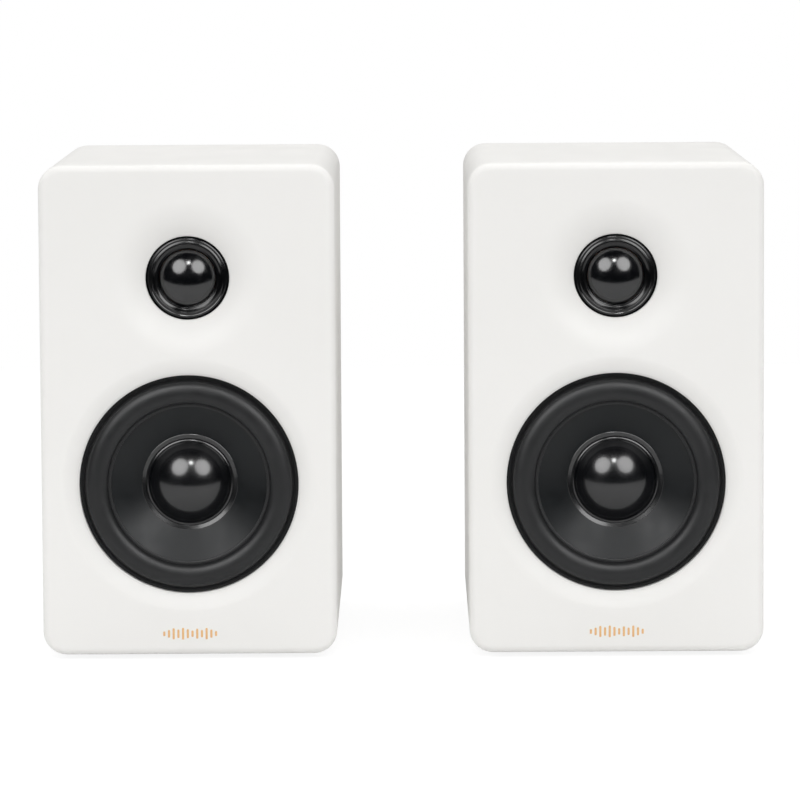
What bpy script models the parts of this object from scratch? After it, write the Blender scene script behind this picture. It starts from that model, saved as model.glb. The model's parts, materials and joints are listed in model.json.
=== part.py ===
"""A pair of two-way powered desktop speakers: two lacquered cabinets, each with a woofer and a dome tweeter.

The right cabinet holds the amplifier. The left one is fed from it and has only a link socket.
Units are metres. +X is to the viewer's right, +Y runs from the baffles to the rear, +Z is up.
The origin is on the table, midway between the cabinets and midway between baffle and rear.
Inside a driver, "depth" is the distance behind the baffle's front plane.
"""

import math

import bmesh
import bpy

MM = 0.001

# ---------------------------------------------------------------- driving dimensions
WIDTH, HEIGHT, DEPTH = 100 * MM, 168 * MM, 147 * MM  # one cabinet, over everything
SPACING = 145 * MM  # between the centre lines of the two cabinets
GAP = 0.3 * MM  # between pieces that touch
CLEAR = 1 * MM  # how far a cutter reaches past the face that it cuts
WALL = 8 * MM
CORNER, INNER_CORNER = 8 * MM, 3 * MM  # radii of the cabinet's long edges, outside and inside
EDGE = 2.4 * MM  # rounding round the front and rear faces
FOOT = 1.2 * MM  # thickness of a foot strip
BAFFLE, BACK = 14 * MM, 9 * MM  # thickness of the front and rear panels
STAND_OFF = 1.5 * MM  # how far the rear fittings stand out of the rear panel

FRONT = -DEPTH / 2
REAR = DEPTH / 2
PANEL_FACE = REAR - STAND_OFF
BASE = FOOT + GAP  # underside of the wooden box
BOX_HEIGHT = HEIGHT - BASE
WRAP_FRONT = FRONT + BAFFLE + GAP
WRAP_REAR = PANEL_FACE - BACK - GAP

WOOFER_Z, TWEETER_Z, PORT_Z = 59.5 * MM, 129.5 * MM, 128 * MM
ROUND, FINE = 18, 24  # sides of a small and of a large round piece

# ---------------------------------------------------------------- woofer
WOOFER_R = 37 * MM  # what shows in the baffle
DISH_R, DISH_DEPTH = 43.2 * MM, 2.4 * MM  # shallow cone in the baffle round the woofer
FLANGE_R, FLANGE_DEPTH = 41.4 * MM, 5.3 * MM  # rim of the basket, screwed on from behind
ROLL_R, ROLL_HALF, ROLL_HEIGHT = 31.3 * MM, 3.9 * MM, 2.2 * MM  # half-roll of the surround
ROLL_FOOT = 2.5 * MM  # depth of the roll's two feet
RUBBER, RUBBER_LIP = 0.7 * MM, 1.1 * MM  # the ring's thickness, and its lip inside the roll
CONE_R, CONE_DEPTH = 27.4 * MM, 3.5 * MM  # outer edge of the cone
CONE_SEAT_R, CONE_SEAT = 14.8 * MM, 10.8 * MM  # where the dust cap sits
CONE_WALL = 0.9 * MM
CAP_R, CAP_BASE_R, CAP_BASE = 17.4 * MM, 14.3 * MM, 10.65 * MM
CAP_WALL = 0.8 * MM
FORMER_IN, FORMER_OUT, WINDING_R = 9.7 * MM, 10.5 * MM, 10.9 * MM
FORMER_FRONT, WINDING_FRONT, FORMER_REAR = 11.5 * MM, 22.5 * MM, 31 * MM
COIL_GAP, MAGNET_GAP = 0.5 * MM, 2.6 * MM  # from the winding to the top plate and to the magnet
SPIDER_R, SPIDER_DEPTH, SPIDER_WAVE = 24.6 * MM, 17.4 * MM, 0.7 * MM
SPIDER_CLOTH = 0.6 * MM
SHELF_R, SHELF_DEPTH = 22.6 * MM, 18.7 * MM  # ledge in the basket that holds the spider
BASKET_R, BASKET_REAR, SHEET = 26 * MM, 23.6 * MM, 1.2 * MM
WINDOW = (90 * MM, 17 * MM)  # two crossed slots leave four arms in the basket
WINDOW_FRONT, WINDOW_REAR = FLANGE_DEPTH + 4 * MM, SPIDER_DEPTH - 1 * MM
PLATE_R, PLATE_T = 25.5 * MM, 3.5 * MM
MAGNET_R, MAGNET_T = 27.5 * MM, 12 * MM
POLE_R, YOKE_T = 9.2 * MM, 4 * MM
PLATE_DEPTH = BASKET_REAR + GAP
MAGNET_DEPTH = PLATE_DEPTH + PLATE_T + GAP
YOKE_DEPTH = MAGNET_DEPTH + MAGNET_T + GAP

# ---------------------------------------------------------------- tweeter
HORN_R, THROAT_R, THROAT_DEPTH = 26.3 * MM, 14.3 * MM, 5.2 * MM  # flare in the baffle
RING_R, RING_CREST_R, RING_IN = 14 * MM, 12.4 * MM, 10.7 * MM
RING_CREST, RING_STEP = 5.2 * MM, 6.4 * MM
RING_FLANGE_R, RING_FLANGE, RING_FLANGE_T = 19 * MM, 8.3 * MM, 2 * MM
DOME_R, DOME_BASE_R, DOME_BASE = 14 * MM, 9.4 * MM, 6 * MM
DOME_WALL = 0.5 * MM
SILK_OUT, SILK_IN, SILK_BASE = 10.4 * MM, 9.7 * MM, 6.8 * MM
SMALL_COIL_IN, SMALL_COIL_OUT = 8.3 * MM, 8.7 * MM
SMALL_COIL_FRONT, SMALL_COIL_REAR = 7 * MM, 11.6 * MM
POLE_CAP_R, POLE_CAP_FRONT, POLE_CAP_T = 7.9 * MM, 8.3 * MM, 2 * MM
DISC_R, DISC_T = 7.5 * MM, 3 * MM
CUP_IN, CUP_NECK, CUP_R = 9.1 * MM, 10.6 * MM, 13 * MM
CUP_FRONT, CUP_SHOULDER, CUP_REAR = 8 * MM, 10.6 * MM, 17.5 * MM

# ---------------------------------------------------------------- bass port, in the rear panel
PORT_IN, PORT_OUT, PORT_COLLAR, PORT_FLANGE = 13 * MM, 15 * MM, 18.7 * MM, 23 * MM
PORT_MOUTH, PORT_FLARE = 20.3 * MM, 10 * MM  # the mouth's radius, and how deep it curves
PORT_FRONT = 2 * MM  # y of the tube's inner end
PORT_FLANGE_Y = PANEL_FACE + GAP

# ---------------------------------------------------------------- rear plates and their fittings
SEAT = 1.2 * MM  # depth of the recess that a plate lies in
PLATE_CORNER = 3 * MM
SHELL_END = REAR - 0.4 * MM  # a fitting's body ends just inside its rim
PIN_ROOT = 1 * MM  # how far a pin starts below its socket's floor
PLATE_Y0 = PANEL_FACE - SEAT + GAP
PLATE_Y1 = PANEL_FACE + GAP
FITTING_Y0 = PLATE_Y1 + GAP  # back of a fitting's rim, and its front is at REAR
AMP_PLATE = (80 * MM, 70 * MM, 52 * MM)  # width, height, centre height
AMP_HOLE = (70 * MM, 60 * MM)
INPUT_PLATE = (44 * MM, 34 * MM, 40 * MM)
INPUT_HOLE = (32 * MM, 24 * MM)
INLET_AT = (22 * MM, 30 * MM)  # x and z of each fitting's centre
SWITCH_AT = (22 * MM, 60 * MM)
LINK_AT = (-6 * MM, 30 * MM)
AUX_AT = (-26 * MM, 30 * MM)
USB_AT = (-26 * MM, 48 * MM)
INPUT_LINK_AT = (0, INPUT_PLATE[2])

INLET_RIM, INLET_BODY, INLET_MOUTH = (25 * MM, 15 * MM), (20 * MM, 11 * MM), (17 * MM, 8.6 * MM)
INLET_BACK, INLET_FLOOR = 56 * MM, 61 * MM
INLET_PIN_R, INLET_PIN_X, INLET_PIN = 1.2 * MM, 4.3 * MM, 8 * MM
SWITCH_RIM, SWITCH_BODY, SWITCH_WELL = (15 * MM, 21 * MM), (12.6 * MM, 18.6 * MM), (10.6 * MM, 16.6 * MM)
SWITCH_BACK, SWITCH_FLOOR = 58 * MM, 62.6 * MM
ROCKER_WIDTH, ROCKER_END, ROCKER_LIP = 10 * MM, 7.2 * MM, 3.6 * MM
ROCKER_DIP, ROCKER_BELLY = 1.9 * MM, 3.6 * MM
ROCKER_Y, ROCKER_TILT = 68.4 * MM, 10  # the pivot, and the lever's lean at rest in degrees
LINK_RIM_R, LINK_R, LINK_MOUTH_R = 8 * MM, 6.5 * MM, 4.7 * MM
LINK_BACK, LINK_FLOOR = 58 * MM, 62.5 * MM
LINK_PIN_R, LINK_PIN_RING, LINK_PIN = 0.5 * MM, 2.6 * MM, 3.5 * MM
AUX_RIM_R, AUX_HOLE_R, AUX_BODY = 4.2 * MM, 1.8 * MM, 8 * MM
USB_RIM, USB_MOUTH, USB_WALL = (12 * MM, 6 * MM), (8.4 * MM, 2.8 * MM), 0.8 * MM
USB_TONGUE, USB_TONGUE_END = (6 * MM, 0.8 * MM), REAR - 2 * MM
SOCKET_BACK, SOCKET_FLOOR = 60 * MM, 62.5 * MM

# ---------------------------------------------------------------- inside the cabinets
BOARD_T = 1.6 * MM
AMP_BOARD = (68 * MM, 56 * MM, 52 * MM)  # width, height, y of its rear face
CAPACITOR_R, CAPACITOR_H = 6 * MM, 16 * MM
CAPACITORS_AT = ((-26 * MM, 36 * MM), (-26 * MM, 54 * MM))
SINK = (40 * MM, 30 * MM, 12 * MM)  # width, height, and how far its fins reach forward
SINK_FINS, SINK_BASE, FIN = 6, 3 * MM, 2 * MM
SINK_X, SINK_RISE = 4 * MM, 5 * MM  # its shift from the board's middle
POWER_BOARD = (62 * MM, 60 * MM, 13 * MM)  # width, length, height of its underside
POWER_BOARD_Y = 5 * MM
TRANSFORMER, TRANSFORMER_AT = (26 * MM, 26 * MM, 20 * MM), (-12 * MM, 12 * MM)  # x, and y from the front edge
MAINS_CAN, MAINS_CAN_AT = (15 * MM, 26 * MM, 15 * MM), (18 * MM, 8 * MM)
TOUCH_BOARD = (56 * MM, 26 * MM)
TOUCH_Y, TOUCH_SKIN = -25 * MM, 2 * MM  # centre, and the wood left over it
WADDING = (78 * MM, 100 * MM, 15 * MM)
WADDING_Y, WADDING_Z = 8 * MM, 99.5 * MM
FOOT_STRIP = (76 * MM, 14 * MM)
FOOT_INSET = 12 * MM  # from the baffle or the rear panel's face to the strip's near edge

# name: (base colour, roughness, metallic)
FINISHES = {
    "white_lacquer": ((0.86, 0.86, 0.84), 0.35, 0.0),
    "black_rubber": ((0.025, 0.025, 0.027), 0.7, 0.0),
    "black_cone": ((0.04, 0.042, 0.045), 0.35, 0.6),
    "gloss_black": ((0.01, 0.01, 0.011), 0.08, 0.0),
    "black_plastic": ((0.02, 0.02, 0.02), 0.45, 0.0),
    "black_plate": ((0.03, 0.03, 0.032), 0.4, 0.5),
    "steel": ((0.5, 0.5, 0.5), 0.35, 1.0),
    "ferrite": ((0.06, 0.06, 0.065), 0.6, 0.0),
    "copper": ((0.72, 0.36, 0.2), 0.3, 1.0),
    "aluminium": ((0.75, 0.75, 0.77), 0.35, 1.0),
    "spider_cloth": ((0.55, 0.38, 0.16), 0.9, 0.0),
    "silk": ((0.02, 0.02, 0.022), 0.25, 0.0),
    "circuit_board": ((0.03, 0.16, 0.08), 0.5, 0.0),
    "wadding": ((0.8, 0.8, 0.78), 1.0, 0.0),
}


# ---------------------------------------------------------------- tools
def clear_scene():
    for old in list(bpy.data.objects):
        bpy.data.objects.remove(old)


def finish(name):
    """The material of that name, made once."""
    found = bpy.data.materials.get(name)
    if found:
        return found
    colour, roughness, metallic = FINISHES[name]
    made = bpy.data.materials.new(name)
    made.use_nodes = True
    shader = made.node_tree.nodes["Principled BSDF"]
    shader.inputs["Base Color"].default_value = (*colour, 1)
    shader.inputs["Roughness"].default_value = roughness
    shader.inputs["Metallic"].default_value = metallic
    return made


def place(name, mesh_data, look, at, parent):
    """An object of this bmesh, with its origin at `at` in the parent's frame."""
    mesh = bpy.data.meshes.new(name)
    bmesh.ops.recalc_face_normals(mesh_data, faces=mesh_data.faces)
    mesh_data.to_mesh(mesh)
    mesh_data.free()
    mesh.shade_smooth()
    mesh.set_sharp_from_angle(angle=math.radians(35))
    obj = bpy.data.objects.new(name, mesh)
    obj.location = at
    obj.parent = parent
    bpy.context.scene.collection.objects.link(obj)
    if look:
        mesh.materials.append(finish(look))
    return obj


def turned(name, profile, look, at, parent, sides=ROUND):
    """A solid turned about the Y axis from a closed profile of (radius, depth) points."""
    bm = bmesh.new()
    verts = [bm.verts.new((r, d, 0)) for r, d in profile]
    pairs = zip(verts, verts[1:] + verts[:1])
    edges = [bm.edges.new(p) for p in pairs if p[0].co.x > 0 or p[1].co.x > 0]
    bmesh.ops.spin(bm, geom=verts + edges, cent=(0, 0, 0), axis=(0, 1, 0), angle=math.tau,
                   steps=sides, use_merge=True)
    bmesh.ops.remove_doubles(bm, verts=bm.verts, dist=1e-7)
    return place(name, bm, look, at, parent)


def extruded(name, outline, along, start, end, look, at, parent):
    """A closed outline of 3-D points with `along` left at 0, pushed from start to end on that axis."""
    axis = "XYZ".index(along)
    bm = bmesh.new()
    near = []
    for point in outline:
        corner = list(point)
        corner[axis] = start
        near.append(bm.verts.new(corner))
    face = bm.faces.new(near)
    grown = bmesh.ops.extrude_face_region(bm, geom=[face])
    for item in grown["geom"]:
        if isinstance(item, bmesh.types.BMVert):
            item.co[axis] = end
    return place(name, bm, look, at, parent)


def rounded(width, height, radius, centre=(0, 0), steps=4):
    """A rounded rectangle in the XZ plane, as points (x, 0, z)."""
    points = []
    for quarter in range(4):
        cx = (width / 2 - radius) * (1 if quarter in (0, 3) else -1)
        cz = (height / 2 - radius) * (1 if quarter in (0, 1) else -1)
        for step in range(steps + 1):
            angle = math.tau / 4 * (quarter + step / steps)
            x = centre[0] + cx + radius * math.cos(angle)
            z = centre[1] + cz + radius * math.sin(angle)
            points.append((x, 0, z))
    return points


def slab(name, size, radius, y0, y1, look, centre, parent, steps=4):
    """A rounded rectangle of size (width, height) between two depths."""
    outline = rounded(*size, radius, centre, steps)
    return extruded(name, outline, "Y", y0, y1, look, (0, 0, 0), parent)


def round_edges_at(obj, y, width, segments=2):
    """Rounds the edges that lie in the plane at this y."""
    bm = bmesh.new()
    bm.from_mesh(obj.data)
    rim = [e for e in bm.edges if all(abs(v.co.y - y) < 1e-6 for v in e.verts)]
    bmesh.ops.bevel(bm, geom=rim, offset=width, segments=segments, profile=0.5, affect="EDGES")
    bm.to_mesh(obj.data)
    bm.free()


def combine(obj, other, operation):
    other.hide_render = True
    other.display_type = "WIRE"
    modifier = obj.modifiers.new(other.name, "BOOLEAN")
    modifier.operation = operation
    modifier.object = other


def cut(obj, *cutters):
    for cutter in cutters:
        combine(obj, cutter, "DIFFERENCE")


def join(obj, *others):
    for other in others:
        combine(obj, other, "UNION")


# ---------------------------------------------------------------- cabinet
def front_baffle(side, parent):
    """A thick panel with a shallow dish round the woofer and a flared throat for the tweeter."""
    size = (WIDTH, BOX_HEIGHT)
    centre = (0, BASE + BOX_HEIGHT / 2)
    panel = slab(f"{side}_front_baffle", size, CORNER, FRONT, FRONT + BAFFLE,
                 "white_lacquer", centre, parent, steps=5)
    round_edges_at(panel, FRONT, EDGE)
    slope = (DISH_R - WOOFER_R - GAP) / DISH_DEPTH
    bore, rebate = WOOFER_R + GAP, FLANGE_R + GAP
    woofer_hole = turned(
        f"cutter_{side}_woofer",
        [(0, -CLEAR), (DISH_R + CLEAR * slope, -CLEAR), (bore, DISH_DEPTH),
         (bore, FLANGE_DEPTH - GAP), (rebate, FLANGE_DEPTH - GAP), (rebate, BAFFLE + CLEAR),
         (0, BAFFLE + CLEAR)],
        None, (0, FRONT, WOOFER_Z), parent, FINE)
    steps = 4
    flare = []
    for step in range(steps + 1):
        t = step / steps
        flare.append((HORN_R + (THROAT_R - HORN_R) * t, THROAT_DEPTH * t ** 1.8))
    lead_in = flare[0][0] + (flare[0][0] - flare[1][0]) * CLEAR / flare[1][1]
    seat = RING_FLANGE_R + GAP
    tweeter_hole = turned(
        f"cutter_{side}_tweeter",
        [(0, -CLEAR), (lead_in, -CLEAR), *flare[1:], (THROAT_R, RING_FLANGE - GAP),
         (seat, RING_FLANGE - GAP), (seat, BAFFLE + CLEAR), (0, BAFFLE + CLEAR)],
        None, (0, FRONT, TWEETER_Z), parent, FINE)
    cut(panel, woofer_hole, tweeter_hole)
    return panel


def cabinet_wrap(side, parent, touch_pocket):
    """The four walls, one bent and glued shell open at the front and the rear."""
    centre = (0, BASE + BOX_HEIGHT / 2)
    wrap = slab(f"{side}_cabinet_wrap", (WIDTH, BOX_HEIGHT), CORNER, WRAP_FRONT, WRAP_REAR,
                "white_lacquer", centre, parent, steps=5)
    hollow = slab(f"cutter_{side}_hollow", (WIDTH - 2 * WALL, BOX_HEIGHT - 2 * WALL), INNER_CORNER,
                  WRAP_FRONT - CLEAR, WRAP_REAR + CLEAR, None, centre, parent, steps=2)
    cut(wrap, hollow)
    if touch_pocket:
        width, length = (d + 2 * GAP for d in TOUCH_BOARD)
        top = HEIGHT - TOUCH_SKIN
        pocket = slab(f"cutter_{side}_pocket", (width, WALL), GAP, TOUCH_Y - length / 2,
                      TOUCH_Y + length / 2, None, (0, top - WALL / 2), parent, steps=1)
        cut(wrap, pocket)
    return wrap


def rear_panel(side, parent, plate, hole):
    """The panel with the port's hole, and a recess and an opening for the fittings' plate."""
    centre = (0, BASE + BOX_HEIGHT / 2)
    back = PANEL_FACE - BACK
    panel = slab(f"{side}_rear_panel", (WIDTH, BOX_HEIGHT), CORNER, back, PANEL_FACE,
                 "white_lacquer", centre, parent, steps=5)
    round_edges_at(panel, PANEL_FACE, EDGE)
    collar = PORT_COLLAR + GAP
    port_hole = turned(f"cutter_{side}_port", [(0, back - CLEAR), (collar, back - CLEAR),
                                               (collar, PANEL_FACE + CLEAR), (0, PANEL_FACE + CLEAR)],
                       None, (0, 0, PORT_Z), parent)
    width, height, middle = plate
    recess = slab(f"cutter_{side}_recess", (width + 2 * GAP, height + 2 * GAP), PLATE_CORNER,
                  PANEL_FACE - SEAT, PANEL_FACE + CLEAR, None, (0, middle), parent)
    opening = slab(f"cutter_{side}_opening", hole, 2 * MM, back - CLEAR, PANEL_FACE + CLEAR,
                   None, (0, middle), parent, steps=2)
    cut(panel, port_hole, recess, opening)
    return panel


def bass_port(side, parent):
    """A tube flared into a flange that covers the edge of its hole."""
    profile = [
        (PORT_IN, PORT_FRONT), (PORT_OUT, PORT_FRONT), (PORT_OUT, PANEL_FACE - BACK),
        (PORT_COLLAR, PANEL_FACE - BACK + 1 * MM), (PORT_COLLAR, PORT_FLANGE_Y),
        (PORT_FLANGE, PORT_FLANGE_Y), (PORT_FLANGE, REAR - 0.3 * MM), (PORT_FLANGE - 0.4 * MM, REAR)]
    flare, steps = (PORT_MOUTH - PORT_IN), 4
    for step in range(steps + 1):
        angle = math.radians(90 * step / steps)
        profile.append((PORT_MOUTH - flare * math.sin(angle), REAR - PORT_FLARE * (1 - math.cos(angle))))
    return turned(f"{side}_bass_port", profile, "black_plastic", (0, 0, PORT_Z), parent)


def foot_strips(side, parent):
    width, length = FOOT_STRIP
    for place_name, y0 in (("front", FRONT + FOOT_INSET), ("rear", PANEL_FACE - FOOT_INSET - length)):
        outline = [(x, y + y0 + length / 2, 0) for x, _, y in rounded(width, length, 5 * MM, steps=3)]
        extruded(f"{side}_{place_name}_foot", outline, "Z", 0, FOOT, "black_rubber", (0, 0, 0), parent)


# ---------------------------------------------------------------- woofer
def cone_depth(radius):
    """Depth of the cone's front surface at this radius."""
    slope = (CONE_SEAT - CONE_DEPTH) / (CONE_R - CONE_SEAT_R)
    return CONE_DEPTH + (CONE_R - radius) * slope


def half_roll(thickness, steps=5):
    """Points over the surround's roll, from its outer foot to its inner one."""
    width = ROLL_HALF - thickness
    points = []
    for step in range(steps + 1):
        angle = math.pi * step / steps
        points.append((ROLL_R + width * math.cos(angle),
                       ROLL_FOOT + thickness - ROLL_HEIGHT * math.sin(angle)))
    return points


def cap_arc(radius, base_r, centre, steps=4):
    """Points along a dome, from its apex to its base."""
    top = math.asin(base_r / radius)
    points = []
    for step in range(steps + 1):
        angle = top * step / steps
        points.append((radius * math.sin(angle), centre - radius * math.cos(angle)))
    return points


def dome(name, radius, base_r, base, wall, look, at, parent, sides):
    centre = base + math.sqrt(radius ** 2 - base_r ** 2)
    outside = cap_arc(radius, base_r, centre)
    rim = base_r - wall
    inside = cap_arc(radius - wall, rim * (radius - wall) / radius, centre)
    return turned(name, outside + inside[::-1], look, at, parent, sides)


def basket(side, at, parent):
    wall = [
        (WOOFER_R - 1.4 * MM, FLANGE_DEPTH), (FLANGE_R, FLANGE_DEPTH),
        (FLANGE_R, FLANGE_DEPTH + SHEET), (WOOFER_R - 0.6 * MM, FLANGE_DEPTH + SHEET),
        (BASKET_R, SHELF_DEPTH), (BASKET_R, BASKET_REAR), (FORMER_OUT + 1.5 * MM, BASKET_REAR),
        (FORMER_OUT + 1.5 * MM, BASKET_REAR - SHEET), (SHELF_R, BASKET_REAR - SHEET),
        (SHELF_R, SHELF_DEPTH), (SPIDER_R + GAP, SHELF_DEPTH), (SPIDER_R + GAP, SPIDER_DEPTH)]
    frame = turned(f"{side}_woofer_basket", wall, "black_plate", at, parent, FINE)
    for number, lean in enumerate((45, 135)):
        window = slab(f"cutter_{side}_window_{number}", WINDOW, 1 * MM, WINDOW_FRONT, WINDOW_REAR,
                      None, (0, 0), parent, steps=1)
        window.location = at
        window.rotation_euler = (0, math.radians(lean), 0)
        cut(frame, window)


def surround(side, at, parent):
    """The rubber ring: a lip in the baffle's hole, a half-roll, and a lip on the cone's edge."""
    outer, inner = half_roll(0), half_roll(RUBBER)
    lip = ROLL_R - ROLL_HALF - RUBBER_LIP
    profile = [(WOOFER_R, FLANGE_DEPTH - GAP), (WOOFER_R, ROLL_FOOT + 0.3 * MM), *outer,
               (lip, ROLL_FOOT), (lip, ROLL_FOOT + RUBBER), *inner[::-1],
               (ROLL_R + ROLL_HALF - RUBBER, FLANGE_DEPTH - GAP)]
    turned(f"{side}_woofer_surround", profile, "black_rubber", at, parent, FINE)


def cone(side, at, parent):
    front = [(r, cone_depth(r)) for r in (CONE_R, FORMER_OUT + GAP)]
    rear = [(r, d + CONE_WALL) for r, d in reversed(front)]
    turned(f"{side}_woofer_cone", front + rear, "black_cone", at, parent, FINE)


def voice_coil(side, at, parent):
    """The former, with its winding as a thicker band at the rear."""
    profile = [(FORMER_IN, FORMER_FRONT), (FORMER_OUT, FORMER_FRONT), (FORMER_OUT, WINDING_FRONT),
               (WINDING_R, WINDING_FRONT), (WINDING_R, FORMER_REAR), (FORMER_IN, FORMER_REAR)]
    turned(f"{side}_woofer_voice_coil", profile, "copper", at, parent)


def spider(side, at, parent):
    """A corrugated cloth ring that centres the voice coil."""
    inner, folds = FORMER_OUT + GAP, 7
    front = []
    for step in range(folds + 1):
        wave = 0
        if 0 < step < folds:
            wave = SPIDER_WAVE if step % 2 else -SPIDER_WAVE
        front.append((inner + (SPIDER_R - inner) * step / folds, SPIDER_DEPTH + wave))
    rear = [(r, d + SPIDER_CLOTH) for r, d in reversed(front)]
    turned(f"{side}_woofer_spider", front + rear, "spider_cloth", at, parent)


def ring(name, inner, outer, start, length, look, at, parent):
    profile = [(inner, start), (outer, start), (outer, start + length), (inner, start + length)]
    return turned(name, profile, look, at, parent)


def woofer_motor(side, at, parent):
    ring(f"{side}_woofer_top_plate", WINDING_R + COIL_GAP, PLATE_R, PLATE_DEPTH, PLATE_T, "steel",
         at, parent)
    ring(f"{side}_woofer_magnet", WINDING_R + MAGNET_GAP, MAGNET_R, MAGNET_DEPTH, MAGNET_T, "ferrite",
         at, parent)
    rear = YOKE_DEPTH + YOKE_T
    profile = [(0, PLATE_DEPTH), (POLE_R, PLATE_DEPTH), (POLE_R, YOKE_DEPTH), (PLATE_R, YOKE_DEPTH),
               (PLATE_R, rear), (0, rear)]
    turned(f"{side}_woofer_yoke", profile, "steel", at, parent)


def woofer(side, parent):
    at = (0, FRONT, WOOFER_Z)
    basket(side, at, parent)
    surround(side, at, parent)
    cone(side, at, parent)
    dome(f"{side}_woofer_dust_cap", CAP_R, CAP_BASE_R, CAP_BASE, CAP_WALL, "gloss_black", at,
         parent, FINE)
    voice_coil(side, at, parent)
    spider(side, at, parent)
    woofer_motor(side, at, parent)


# ---------------------------------------------------------------- tweeter
def tweeter_ring(side, at, parent):
    """A gloss face ring with a rounded bead, and a flange that is screwed on from behind."""
    back = RING_FLANGE + RING_FLANGE_T
    profile = [
        (RING_R, RING_CREST + 0.7 * MM), (RING_R, RING_FLANGE), (RING_FLANGE_R, RING_FLANGE),
        (RING_FLANGE_R, back), (RING_IN, back), (RING_IN, RING_STEP),
        (RING_IN + 0.4 * MM, RING_STEP - 0.5 * MM), (RING_CREST_R - 0.6 * MM, RING_CREST + 0.3 * MM),
        (RING_CREST_R, RING_CREST), (RING_R - 0.6 * MM, RING_CREST + 0.1 * MM)]
    turned(f"{side}_tweeter_ring", profile, "gloss_black", at, parent, FINE)


def tweeter_surround(side, at, parent):
    middle, high = (SILK_OUT + SILK_IN) / 2, 0.7 * MM
    top, foot = SILK_BASE - 0.4 * MM, SILK_BASE + 0.2 * MM
    profile = [(SILK_OUT, foot), (SILK_OUT, top), (middle, top - high), (SILK_IN, top),
               (SILK_IN, foot), (middle, foot - high)]
    turned(f"{side}_tweeter_surround", profile, "silk", at, parent)


def tweeter_motor(side, at, parent):
    ring(f"{side}_tweeter_voice_coil", SMALL_COIL_IN, SMALL_COIL_OUT, SMALL_COIL_FRONT,
         SMALL_COIL_REAR - SMALL_COIL_FRONT, "copper", at, parent)
    cap_back = POLE_CAP_FRONT + POLE_CAP_T
    disc = cap_back + GAP
    floor = disc + DISC_T + GAP
    turned(f"{side}_tweeter_pole_cap", [(0, POLE_CAP_FRONT), (POLE_CAP_R, POLE_CAP_FRONT),
                                        (POLE_CAP_R, cap_back), (0, cap_back)], "steel", at, parent)
    turned(f"{side}_tweeter_magnet", [(0, disc), (DISC_R, disc), (DISC_R, disc + DISC_T),
                                      (0, disc + DISC_T)], "aluminium", at, parent)
    profile = [(CUP_IN, CUP_FRONT), (CUP_NECK, CUP_FRONT), (CUP_NECK, CUP_SHOULDER),
               (CUP_R, CUP_SHOULDER), (CUP_R, CUP_REAR), (0, CUP_REAR), (0, floor), (CUP_IN, floor)]
    turned(f"{side}_tweeter_cup", profile, "steel", at, parent)


def tweeter(side, parent):
    at = (0, FRONT, TWEETER_Z)
    tweeter_ring(side, at, parent)
    tweeter_surround(side, at, parent)
    dome(f"{side}_tweeter_dome", DOME_R, DOME_BASE_R, DOME_BASE, DOME_WALL, "silk", at, parent, ROUND)
    tweeter_motor(side, at, parent)


# ---------------------------------------------------------------- rear plates and sockets
def rear_plate(name, plate, holes, parent):
    """A thin plate with one hole for each fitting."""
    width, height, middle = plate
    sheet = slab(name, (width, height), PLATE_CORNER, PLATE_Y0, PLATE_Y1, "black_plate", (0, middle), parent)
    for number, (hole, radius, centre) in enumerate(holes):
        grown = (hole[0] + 2 * GAP, hole[1] + 2 * GAP)
        cut(sheet, slab(f"cutter_{name}_{number}", grown, radius + GAP, PLATE_Y0 - CLEAR,
                        PLATE_Y1 + CLEAR, None, centre, parent))


def mains_inlet(side, parent):
    """A two-pin appliance inlet in a rim that overlaps its hole."""
    body = slab(f"{side}_mains_inlet", INLET_RIM, 2 * MM, FITTING_Y0, REAR, "black_plastic",
                INLET_AT, parent, steps=2)
    shell = slab(f"cutter_{side}_inlet_shell", INLET_BODY, 4 * MM, INLET_BACK, SHELL_END, None,
                 INLET_AT, parent)
    mouth = slab(f"cutter_{side}_inlet_mouth", INLET_MOUTH, 4.2 * MM, INLET_FLOOR, REAR + CLEAR,
                 None, INLET_AT, parent)
    join(body, shell)
    cut(body, mouth)
    for number, offset in enumerate((-INLET_PIN_X, INLET_PIN_X)):
        start, end = INLET_FLOOR - PIN_ROOT, INLET_FLOOR + INLET_PIN
        pin = turned(f"cutter_{side}_inlet_pin_{number}",
                     [(0, start), (INLET_PIN_R, start), (INLET_PIN_R, end), (0, end)], None,
                     (INLET_AT[0] + offset, 0, INLET_AT[1]), parent, 8)
        join(body, pin)


def power_switch(side, parent):
    """A switch housing and the rocker in it, which pivots on an axis along X."""
    body = slab(f"{side}_switch_body", SWITCH_RIM, 1.5 * MM, FITTING_Y0, REAR, "black_plastic",
                SWITCH_AT, parent, steps=2)
    shell = slab(f"cutter_{side}_switch_shell", SWITCH_BODY, 1 * MM, SWITCH_BACK, SHELL_END,
                 None, SWITCH_AT, parent, steps=1)
    well = slab(f"cutter_{side}_switch_well", SWITCH_WELL, 0.6 * MM, SWITCH_FLOOR, REAR + CLEAR,
                None, SWITCH_AT, parent, steps=1)
    join(body, shell)
    cut(body, well)
    side_view = [(ROCKER_LIP, ROCKER_END), (ROCKER_DIP, 0), (ROCKER_LIP, -ROCKER_END),
                 (0, -ROCKER_END - 0.3 * MM), (-0.7 * ROCKER_BELLY, -0.6 * ROCKER_END),
                 (-ROCKER_BELLY, 0), (-0.7 * ROCKER_BELLY, 0.6 * ROCKER_END),
                 (0, ROCKER_END + 0.3 * MM)]
    lever = extruded(f"{side}_switch_rocker", [(0, y, z) for y, z in side_view], "X",
                     -ROCKER_WIDTH / 2, ROCKER_WIDTH / 2, "gloss_black",
                     (SWITCH_AT[0], ROCKER_Y, SWITCH_AT[1]), parent)
    lever.rotation_euler = (math.radians(-ROCKER_TILT), 0, 0)


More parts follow.
